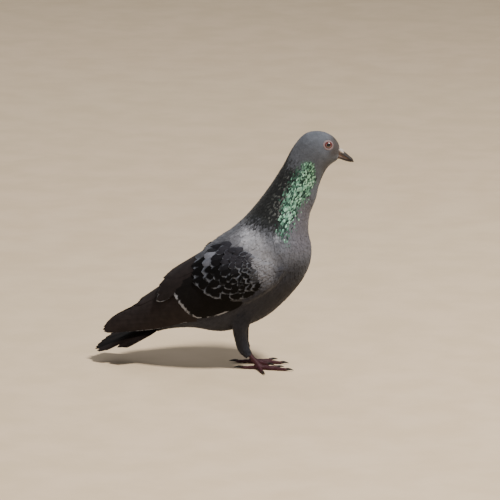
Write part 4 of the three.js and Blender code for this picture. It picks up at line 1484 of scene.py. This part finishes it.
def build_secondaries(side, colours, rng):
    """Secondaries with their bar and pale tips, and the tertials that cover them along the back."""
    plumes = Plumes(8, 6)

    def surface(t, angle, lift):
        return wing.point(t, angle, lift - SECONDARY_INSET * MM)

    for k in range(SECONDARIES):
        f = k / (SECONDARIES - 1)
        root = wing.from_side(toward(*SECONDARY_ROOTS, f), side)
        tip = wing.from_side(between(SECONDARY_TIPS, f * (len(SECONDARY_TIPS) - 1)), side)
        fringe = (2.9 * fade("pale_tips", f) * (1 - fade("past_pale_tips", f)), 0.0, 0.9)
        if 0 < k < 5:
            fringe = (1.1 - 0.15 * k, side * 1.0, 0.0)
        tint = mix(colours.black, colours.brown, 0.05 + 0.1 * f) * rng.uniform(0.9, 1.1)
        lift = (-2.6 + 1.1 * f, -0.75 + 1.43 * f)
        plumes.add(surface, root, tip, lift, tint, fringe, side * BENDS["secondary"], **SECONDARY_MAKE)
    over_back = 0.4 if side < 0 else 0.0
    for k, (root, tip, width, pale) in enumerate((*TERTIALS, *BACK_TERTIALS)):
        on_back = k >= len(TERTIALS)
        ends = ([p[0], p[1] * side] if on_back else wing.from_side(p, side) for p in (root, tip))
        tint = mix(colours.brown, colours.black, 0.45 - 0.04 * k) * rng.uniform(0.92, 1.08) * (1 + 0.06 * k)
        lift, fringe = (TERTIAL_ROOTS[on_back], 0.75 + 0.15 * k + over_back), (pale, 0.0, 0.9)
        plumes.add(surface, *ends, lift, tint, fringe, side * BENDS["tertial"], width, **TERTIAL_MAKE)
    return plumes


def build_primaries(side, colours, rng):
    """The long primaries, the outermost lowest, with the pale lower edge of the first."""
    plumes = Plumes(4, 4)
    last = len(PRIMARY_TIPS) - 1
    places = [
        [flight.from_side(p, side) for p in (toward(*PRIMARY_ROOTS, k / last), tip)]
        for k, tip in enumerate(PRIMARY_TIPS)
    ]
    places += [[(p[0], p[1] * side) for p in pair] for pair in BACK_PRIMARIES]
    for k, (root, tip) in enumerate(places):
        tint = mix(colours.brown, colours.black, 0.15) * rng.uniform(0.92, 1.08)
        fringe = NO_FRINGE if k else (0.3, side * 1.0, 0.0)
        width, bend = 13.5 - 0.15 * k, side * BENDS["primary"]
        lift = (PRIMARY_ROOT + PRIMARY_STEP * k, PRIMARY_ROOT + 0.5 + PRIMARY_STEP * k)
        plumes.add(flight.point, root, tip, lift, tint, fringe, bend, width, **PRIMARY_MAKE)
    return plumes


# The tail from root to tip: x, z, half its width and how far its edges droop, and how far it rolls.
# Then how much shorter than the longest each feather is, and its place across the fan, from the right.
TAIL_ROOT = np.array([-90, 46, 15, 8], float)
TAIL_TIP = np.array([-165.4, 11.6, 25, -2.2], float)
TAIL_ROLL = 0.32
TAIL_SHORT = (32, 29, 25.5, 10, 5, 3, 0, 0, 1, 4, 7.5, 11.5)
TAIL_ACROSS = (-0.97, -0.88, -0.79, -0.46, -0.36, -0.26, 0, 0.13, 0.3, 0.5, 0.72, 0.95)


def tail_surface(u, v, lift):
    """The fanned tail: u along it, v across it from the right, each way to 1."""
    x, z, half, droop = (a + (b - a) * u for a, b in zip(TAIL_ROOT, TAIL_TIP))
    z = z - droop * v * v + TAIL_ROLL * half * v * u
    return np.stack([x * MM + ORIGIN_X, half * v * MM, z * MM + lift], -1)


def build_tail(colours, rng):
    """Twelve tail feathers, the middle pair on top, each as short as its place in the fan."""
    plumes = Plumes(4, 4)
    count = len(TAIL_SHORT)
    for k in sorted(range(count), key=lambda k: -abs(k - (count - 1) / 2)):
        middle = 1 - abs(2 * (k + 0.5) / count - 1)
        v = TAIL_ACROSS[k]
        root = (0.02, v * (0.55 if v < 0 else 0.72))
        tip = (1 - TAIL_SHORT[k] / (TAIL_ROOT[0] - TAIL_TIP[0]), v)
        tint = np.array(colours.tail) * rng.uniform(0.85, 1.2)
        level = -0.9 + 1.8 * middle
        bend = BENDS["tail"] * np.sign(v)
        plumes.add(tail_surface, root, tip, (level, level - 0.15), tint, NO_FRINGE, bend, **TAIL_MAKE)
    return plumes


# ------------------------------------------------------------------ eyes, bill, cere and claws
UPPER_BILL = [
    (77.6, 226.6, 78.1, 217.4, 3.9, 0),
    (80.5, 224.6, 80.9, 217.2, 3.6, 0),
    (86.8, 220.3, 86.6, 215, 3, 0),
    (91.2, 216.7, 91.1, 212.8, 2.4, 0),
    (94.2, 213.8, 93.7, 211.3, 1.6, 0),
    (95.2, 211.5, 94.7, 210.6, 0.8, 0),
    (95.5, 210.7, 95.3, 210.4, 0.15, 0),
]
LOWER_BILL = [
    (77.6, 218.9, 78.1, 213.6, 3.5, 0),
    (80.9, 218.7, 81.5, 213.5, 3.3, 0),
    (86.7, 216.3, 86.5, 211.9, 2.6, 0),
    (91, 214, 90.8, 210.9, 1.9, 0),
    (93.2, 212.2, 92.9, 210.6, 1, 0),
    (93.9, 211.2, 93.8, 210.7, 0.15, 0),
]
# The middle of the cere seen from the side, its tilt, and how long, wide and high each lobe is each way.
CERE = (83.7, 221.2)
CERE_TILT = 40
LOBE = (3.6, 1.95, 1.75)
LOBE_OUT = 1.5
CERE_VOXEL = 0.16
# How far the eyeball lies inside its socket, and how far the cornea stands out from it.
EYE_SUNK = 0.12
CORNEA = 0.22
# The relief of the bill: the groove below the nostril, the ridge, the nail, and the cutting edges.
BILL_GROOVE = 0.22
BILL_RIDGE = 0.2
BILL_NAIL = 0.28
BILL_EDGE = 0.12
# A claw's length against its node's, its radius at the base and how much less that is at its point.
CLAW_LENGTH = 0.88
CLAW_RADIUS = 1.32
CLAW_TAPER = 1.1


def bell(value, middle, width):
    """1 at the middle, falling away on both sides."""
    return np.exp(-(((value - middle) / width) ** 2))


def build_eye(name, side):
    """An eyeball with its iris facing out and a slightly raised cornea."""
    centre, look, ahead, up = eye_frame(side)
    polar = np.concatenate([np.linspace(0, 0.95, 30), np.linspace(1.02, math.pi, 22)])
    way = turns(64)[:, None]
    ring = np.cos(way) * ahead + np.sin(way) * up
    radius = EYE["radius"] - EYE_SUNK + CORNEA * (1 - smooth(0.2, 0.85, polar))
    rings = [
        centre + MM * (reach * math.cos(angle) * look + reach * math.sin(angle) * ring)
        for angle, reach in zip(polar[1:-1], radius[1:-1])
    ]
    eye = lofted(name, rings)
    rel = get_points(eye) - centre
    off = np.linalg.norm(rel - (rel @ look)[:, None] * look, axis=1) / MM
    put_attributes(eye.data, ring=np.where(rel @ look > 0, off, 9.0) / EYE_OPENING)
    return eye


def build_bill(name, rows, upper):
    """One half of the bill: a keel along its ridge, a groove below the nostril, and a bent nail."""
    hull = Hull(rows)
    t = np.linspace(0, hull.last, 66)[:, None]
    angle = turns(48)[None, :]
    above = np.cos(angle) > 0
    grow = 0.0 * t + 0 * angle
    if upper:
        groove = bell(np.abs(np.sin(angle)), 0.93, 0.1) * smooth(0.6, 1.2, t) * (1 - smooth(2.1, 2.9, t))
        grow = grow - BILL_GROOVE * groove * above
        grow = grow + BILL_RIDGE * np.exp(-(angle**2) / 0.1) * smooth(1, 2, t)
        grow = grow + BILL_NAIL * smooth(3.0, 3.8, t) * above
    inner = np.cos(angle) * (1 if upper else -1) < 0
    grow = grow + BILL_EDGE * bell(np.abs(np.cos(angle)), 0.55, 0.16) * inner * (1 - smooth(3.2, 4.0, t))
    bill = lofted(name, hull.point(t, angle, grow * MM))
    points = get_points(bill)
    x, _ = side_view(points)
    _, around = hull.locate(points)
    edge = smooth(0.1, 0.75, -np.cos(around) * (1 if upper else -1))
    pale = edge * smooth(92.5, 88, x) + 0.35 * smooth(85.5, 81, x)
    put_attributes(bill.data, pale=np.clip(pale, 0, 1))
    return bill


def build_cere():
    """Two white lobes side by side over the bill's root, each with a nostril slit under it."""
    tilt = math.radians(CERE_TILT)
    ahead = np.array([math.cos(tilt), 0, -math.sin(tilt)])
    up = np.array([math.sin(tilt), 0, math.cos(tilt)])
    polar = np.linspace(0.06, math.pi - 0.06, 26)[:, None]
    way = turns(40)[None, :]
    along = -np.cos(polar) * np.ones_like(way)
    wide, high = np.sin(polar) * np.cos(way), np.sin(polar) * np.sin(way)
    taper = 1 - 0.3 * smooth(-0.3, 1, along)
    lobes = []
    for side in SIDES.values():
        slit = bell(along, 0.35, 0.4) * bell(high, -0.55, 0.13) * (wide * side > 0)
        girth = taper * (1 - 0.3 * slit)
        reaches = (LOBE[0] * along, LOBE[1] * girth * wide, LOBE[2] * girth * high)
        places = stations_point(CERE[0], side * LOBE_OUT, CERE[1])
        for reach, axis in zip(reaches, (ahead, np.array([0, 1.0, 0]), up)):
            places = places + (MM * reach)[..., None] * axis
        lobes.append(lofted("lobe", places))
    cere = remeshed("cere", lobes, CERE_VOXEL, 3)
    rel = (get_points(cere) - stations_point(CERE[0], 0, CERE[1])) / MM
    # The nostril slits, marked for painted shade.
    slit = bell(rel @ ahead, 1.5, 1.4) * bell(rel @ up, -1.0, 0.34) * smooth(0.8, 1.8, np.abs(rel[:, 1]))
    put_attributes(cere.data, pale=1 - slit)
    return cere


def build_claw(node):
    """A claw over its node: curved down, keeled above, with a blunt point."""
    own, middle, axis = long_axis(node)
    if axis @ (middle - long_axis(node.replace("claw", "toe"))[1]) < 0:
        axis = -axis
    along = (own - middle) @ axis
    base = middle + axis * along.min()
    reach = along.max() - along.min()
    base_z = own[along < along.min() + 0.3 * reach][:, 2].mean()
    level = unit(np.array([axis[0], axis[1], 0]))
    across = np.cross([0, 0, 1.0], level)
    reach = CLAW_LENGTH * reach
    way = turns(20)
    keel = 1 + 0.16 * np.exp(-((way - math.pi / 2) ** 2) / 0.15)
    rings = []
    for s in np.linspace(-0.16, 1, 22):
        onward = max(s, 0)
        radius = (CLAW_RADIUS - CLAW_TAPER * onward**1.5) * MM
        z = base_z + MM * (0.495 * math.sin(onward * 2.3) - onward**2)
        centre = np.array([base[0], base[1], 0]) + level * reach * s
        ring = centre + (np.cos(way) * radius * 0.82)[:, None] * across
        ring[:, 2] = max(z, radius * 0.98) + np.sin(way) * radius * keel
        rings.append(ring)
    claw = lofted("piece_" + node, rings)
    spot = (get_points(claw) - base) @ axis / reach
    put_attributes(claw.data, pale=0.5 * smooth(0.25, 0.0, spot))
    return claw


# ------------------------------------------------------------------ stage
CAMERA_TURN = 9
CAMERA_RISE = 12
CAMERA_AWAY = 5.0
CAMERA_AIM = (-0.008, 0.116)
SENSOR = 36
FRAME_HEIGHT = 0.5
FLOOR_HALF = 4.0
FLOOR_TONES = ((0.69, 0.54, 0.36), (0.75, 0.59, 0.41))
LIGHTS_AIM = (0, 0, 0.12)
# Each light's name, place, size, power and colour.
LIGHTS = (
    ("key", (1.25, -0.75, 2.5), 0.4, 118, (1.0, 0.95, 0.88)),
    ("fill", (-1.2, -2.2, 1.0), 1.8, 5, (0.92, 0.95, 1.0)),
    ("rim", (-0.8, 1.8, 1.9), 1.2, 12, (1, 1, 1)),
)
SKY_COLOUR = (0.94, 0.95, 1.0, 1)
SKY_STRENGTH = 0.24


def placed(name, data, place, back):
    """A lamp or a camera at its place, with its back turned that way."""
    made = bpy.data.objects.new(name, data)
    made.location = place
    made.rotation_euler = back.to_track_quat("Z", "Y").to_euler()
    bpy.context.scene.collection.objects.link(made)
    return made


def build_stage():
    """Pale floor, soft studio light and the camera."""
    h = FLOOR_HALF
    floor = mesh_object("floor", [(-h, -h, 0), (h, -h, 0), (h, h, 0), (-h, h, 0)], [(0, 1, 2, 3)])
    material, graph, surface = new_material("PaleFloor", 0.9)
    tone = graph.ramp(graph.noise(18.0, 5.0), 0.3, 0.7)
    dress(graph, surface, graph.mix(tone, *FLOOR_TONES))
    floor.data.materials.append(material)

    turn, rise = math.radians(CAMERA_TURN), math.radians(CAMERA_RISE)
    right = Vector((math.cos(turn), math.sin(turn), 0))
    up = Vector((-math.sin(turn) * math.sin(rise), math.cos(turn) * math.sin(rise), math.cos(rise)))
    back = Vector((math.sin(turn) * math.cos(rise), -math.cos(turn) * math.cos(rise), math.sin(rise)))
    target = Vector((ORIGIN_X, 0, 0)) + right * CAMERA_AIM[0] + up * CAMERA_AIM[1]
    data = bpy.data.cameras.new("camera")
    data.sensor_width = SENSOR
    data.lens = SENSOR * CAMERA_AWAY / FRAME_HEIGHT
    data.clip_end = 50
    bpy.context.scene.camera = placed("camera", data, target + back * CAMERA_AWAY, back)

    for name, place, size, power, colour in LIGHTS:
        data = bpy.data.lights.new(name, "AREA")
        data.shape, data.size, data.energy, data.color = "DISK", size, power, colour
        placed(name, data, place, Vector(place) - Vector(LIGHTS_AIM))
    world = bpy.context.scene.world = bpy.data.worlds.new("studio")
    world.use_nodes = True
    sky = world.node_tree.nodes["Background"]
    sky.inputs["Color"].default_value = SKY_COLOUR
    sky.inputs["Strength"].default_value = SKY_STRENGTH


# ------------------------------------------------------------------ operators
GROUND = {}
SKIN_NODES = ("head", "neck", "trunk", "thigh", "tarsus", "foot_pad", "toe")
# The coat's pieces: from and to which station, from and to how far round from the back, the kind of
# feather and material, the slot, and how ruffled the feathers lie.
COAT = {
    "coat_head": (-1, 3.7, -1, 2, "hair", "head", "head_plumage", 0.05),
    "coat_neck": (3.7, 6.6, -1, 2, "vane", "neck", "neck_plumage", 0.12),
    "coat_neck_base": (6.6, 8.9, -1, 2, "vane", "neck", "neck_plumage", 0.12),
    "coat_breast": (8.9, 10.9, 0.42, 2, "vane", "body", "body_plumage", 0.06),
    "coat_belly": (10.9, 99, 0.42, 2, "vane", "body", "body_plumage", 0.06),
    "coat_back": (8.9, 99, -1, 0.42, "vane", "body", "body_plumage", 0.06),
    "coat_thighs": (-1, 99, -1, 2, "vane", "body", "body_plumage", 0.06),
    "coat_shoulder_right": (-1, 99, -1, 2, "vane", "body", "wing_covert_plumage", 0.05),
    "coat_shoulder_left": (-1, 99, -1, 2, "vane", "body", "wing_covert_plumage", 0.05),
}
GLINT_STEPS = (0.1, 0.88)
# The olive grey of the painted glints on the nape next to the glossy patch.
OLIVE = rgb(98, 102, 100)


def settings():
    scene = bpy.context.scene
    return scene.pigeon_coat, scene.pigeon_plumage, scene.pigeon_bare


def nodes_named(*starts):
    return [n for n in sorted(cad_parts) if n.startswith(starts)]


def coat_tint(roots, colours, rng):
    """The tint of every small feather, with painted glints on and next to the glossy patch, and its gloss."""
    places, t = roots["places"], roots["t"]
    tint, gloss = plumage_colour(places, colours, rng)
    margin = gloss_margin(t, roots["front"])
    # Painted glints and shade: a random brightness for each feather, in clumps, with more contrast, dimmer at
    # the patch's top, bottom and edges, and a painted highlight in its middle.
    glint = 0.4 * clumps(places, 0.7, rng) + 0.6 * rng.random(len(places))
    glint = 0.48 + 1.35 * (glint - 0.5) - 0.16 * (1 - fade("top_glints", t)) - 0.15 * fade("low_glints", t)
    core_highlight = 0.16 * bell(t, 6.85, 0.42) * fade("inside_gloss", margin)
    glint += core_highlight - 0.1 * fade("at_gloss_edge", margin)
    scale = np.array([rgb(*g) for g in GLINTS])
    steps = np.linspace(*GLINT_STEPS, len(scale))
    bright = np.stack([np.interp(glint, steps, channel) for channel in scale.T], 1)
    tint = mix(tint, bright, 0.92 * fade("glossy", gloss))
    # Painted glints next to the patch: nape feathers that came out bright turn olive grey.
    beside_glints = (1 - fade("beside_gloss", margin)) * (glint > 0.6) * fade("some_gloss", gloss) * (gloss < 0.4)
    tint = mix(tint, OLIVE, 0.75 * beside_glints)
    return tint * rng.normal(1, 0.05, len(places)).clip(0.85, 1.15)[:, None], gloss


def coat_roots(ground, sizes, colours):
    """The roots of the small feathers, with size, lie, tint, gloss and a place on a flat map for each."""
    rng = np.random.default_rng(SEED)
    roots = place_roots(ground, sizes, rng)
    roots["ahead"], roots["across"], roots["up"] = feather_lie(roots, ground, sizes)
    roots["front"] = np.abs(roots["angle"]) / math.pi
    depth = coat_depth(roots["t"], sizes) * 0.85
    depth = np.where(roots["on_arm"], ARM_INSET * MM * 0.9, depth)
    depth = np.where(roots["on_thigh"], THIGH_COAT * MM, depth)
    roots["size"] = np.stack([roots["gaps"] * sizes.overlap, roots["gaps"] * FEATHER_WIDTH, depth], 1)
    roots["tint"], roots["gloss"] = coat_tint(roots, colours, rng)
    _, z = side_view(roots["places"])
    over_body = np.stack([roots["t"], roots["angle"]], 1)
    over_thigh = np.stack([-z, roots["places"][:, 1] / MM], 1)
    roots["uv"] = np.where(roots["on_thigh"][:, None], over_thigh, over_body)
    return roots


def coat_region(name, roots):
    """Which roots belong to one of the coat's pieces."""
    first, last, back, belly = COAT[name][:4]
    t, front, thigh = roots["t"], roots["front"], roots["on_thigh"]
    region = (t >= first) & (t < last) & (front > back) & (front <= belly)
    arm = roots["on_arm"] & ~thigh
    if name == "coat_thighs":
        return region & thigh
    if name.startswith("coat_shoulder"):
        return region & arm & (np.sign(roots["places"][:, 1]) == SIDES[name.split("_")[-1]])
    return region & ~(thigh | arm)


class PigeonSkin(bpy.types.Operator):
    """Make the one skin under the plumage, with lids, legs and feet"""

    bl_idname = "pigeon.skin"
    bl_label = "Skin"

    def execute(self, context):
        skin, ground = build_skin(*settings())
        GROUND.update(ground)
        finish_piece(skin, skin_material(), "leg_skin", *nodes_named(*SKIN_NODES))
        return {"FINISHED"}


class PigeonSmallFeathers(bpy.types.Operator):
    """Grow the small feathers of head, neck, body and thighs over the skin"""

    bl_idname = "pigeon.small_feathers"
    bl_label = "Small feathers"

    def execute(self, context):
        if not GROUND:
            raise RuntimeError("the skin comes first: the small feathers grow on it")
        sizes, colours, _ = settings()
        roots = coat_roots(GROUND, sizes, colours)
        shapes = {"vane": unit_vane("vane", *BODY_VANE), "hair": unit_vane("hair", *HEAD_VANE)}
        materials = {
            "body": plumage_material("BodyPlumage"),
            "neck": plumage_material("NeckPlumage", 0.6, 120.0, 0.14, 0.1, glossy=True),
            "head": plumage_material("HeadPlumage", 0.85, 60.0, 0.1, 0.2),
        }
        for index, (name, (*_, shape, material, slot, ruffle)) in enumerate(COAT.items()):
            chosen = coat_region(name, roots)
            piece = feather_bed(name, roots, chosen, shapes[shape], materials[material], ruffle, SEED + index)
            finish_piece(piece, materials[material], slot)
        for shape in shapes.values():
            bpy.data.objects.remove(shape)
        return {"FINISHED"}


class PigeonWings(bpy.types.Operator):
    """Lay coverts, secondaries, tertials and primaries over both folded wings"""

    bl_idname = "pigeon.wings"
    bl_label = "Wing feathers"

    def execute(self, context):
        _, colours, _ = settings()
        checks = flight_material("CovertFeathers", colours.check_edge, 0.3)
        quills = flight_material("WingFeathers", colours.pale)
        for index, (name, side) in enumerate(SIDES.items()):
            rng = np.random.default_rng(SEED + 40 + index)
            for kind, build, material, slot in (
                ("coverts", build_coverts, checks, "wing_covert_plumage"),
                ("secondaries", build_secondaries, quills, "flight_feathers"),
                ("primaries", build_primaries, quills, "flight_feathers"),
            ):
                piece = build(side, colours, rng).build(f"{kind}_{name}")
                finish_piece(piece, material, slot, f"wing_{name}_{kind}")
        return {"FINISHED"}


class PigeonTail(bpy.types.Operator):
    """Lay the twelve tail feathers"""

    bl_idname = "pigeon.tail"
    bl_label = "Tail feathers"

    def execute(self, context):
        _, colours, _ = settings()
        piece = build_tail(colours, np.random.default_rng(SEED + 60)).build("tail_feathers")
        finish_piece(piece, flight_material("TailFeathers", colours.pale), "tail_feathers", "tail")
        return {"FINISHED"}


class PigeonHeadParts(bpy.types.Operator):
    """Make the eyes, the two halves of the bill and the cere"""

    bl_idname = "pigeon.head_parts"
    bl_label = "Eyes, bill and cere"

    def execute(self, context):
        _, _, bare = settings()
        iris = eye_material(bare.iris)
        for name, side in SIDES.items():
            finish_piece(build_eye(f"eyeball_{name}", side), iris, "eye", f"eye_{name}")
        horn = horn_material("BillHorn", bare.bill, bare.gape, 0.55)
        finish_piece(build_bill("upper_bill", UPPER_BILL, True), horn, "bill_horn", "bill_upper")
        finish_piece(build_bill("lower_bill", LOWER_BILL, False), horn, "bill_horn", "bill_lower")
        finish_piece(build_cere(), cere_material(bare.cere), "cere", "cere")
        return {"FINISHED"}


class PigeonClaws(bpy.types.Operator):
    """Make the eight claws"""

    bl_idname = "pigeon.claws"
    bl_label = "Claws"

    def execute(self, context):
        _, _, bare = settings()
        horn = horn_material("ClawHorn", bare.claws, rgb(84, 62, 60), 0.52)
        for node in nodes_named("claw"):
            finish_piece(build_claw(node), horn, "claw", node)
        return {"FINISHED"}


class PigeonStage(bpy.types.Operator):
    """Set the floor, the lights and the camera"""

    bl_idname = "pigeon.stage"
    bl_label = "Stage"

    def execute(self, context):
        build_stage()
        return {"FINISHED"}


OPERATORS = (
    PigeonSkin, PigeonSmallFeathers, PigeonWings, PigeonTail, PigeonHeadParts, PigeonClaws, PigeonStage,
)


class PigeonPanel(bpy.types.Panel):
    """The pigeon's sizes and colours, and the steps that make it"""

    bl_idname = "VIEW3D_PT_pigeon"
    bl_label = "Pigeon"
    bl_space_type = "VIEW_3D"
    bl_region_type = "UI"
    bl_category = "Pigeon"

    def draw(self, context):
        column = self.layout.column()
        for owner in settings():
            for prop in owner.bl_rna.properties:
                if prop.identifier not in ("rna_type", "name"):
                    column.prop(owner, prop.identifier)
        for operator in OPERATORS:
            column.operator(operator.bl_idname)


GROUPS = {"pigeon_coat": PigeonCoatSizes, "pigeon_plumage": PigeonPlumage, "pigeon_bare": PigeonBareParts}


def register():
    for cls in (*GROUPS.values(), *OPERATORS, PigeonPanel):
        bpy.utils.register_class(cls)
    for name, group in GROUPS.items():
        setattr(bpy.types.Scene, name, bpy.props.PointerProperty(type=group))


def unregister():
    for name in GROUPS:
        delattr(bpy.types.Scene, name)
    for cls in reversed((*GROUPS.values(), *OPERATORS, PigeonPanel)):
        bpy.utils.unregister_class(cls)


def main():
    register()
    for operator in OPERATORS:
        group, name = operator.bl_idname.split(".")
        getattr(getattr(bpy.ops, group), name)()


if __name__ == "__main__":
    main()
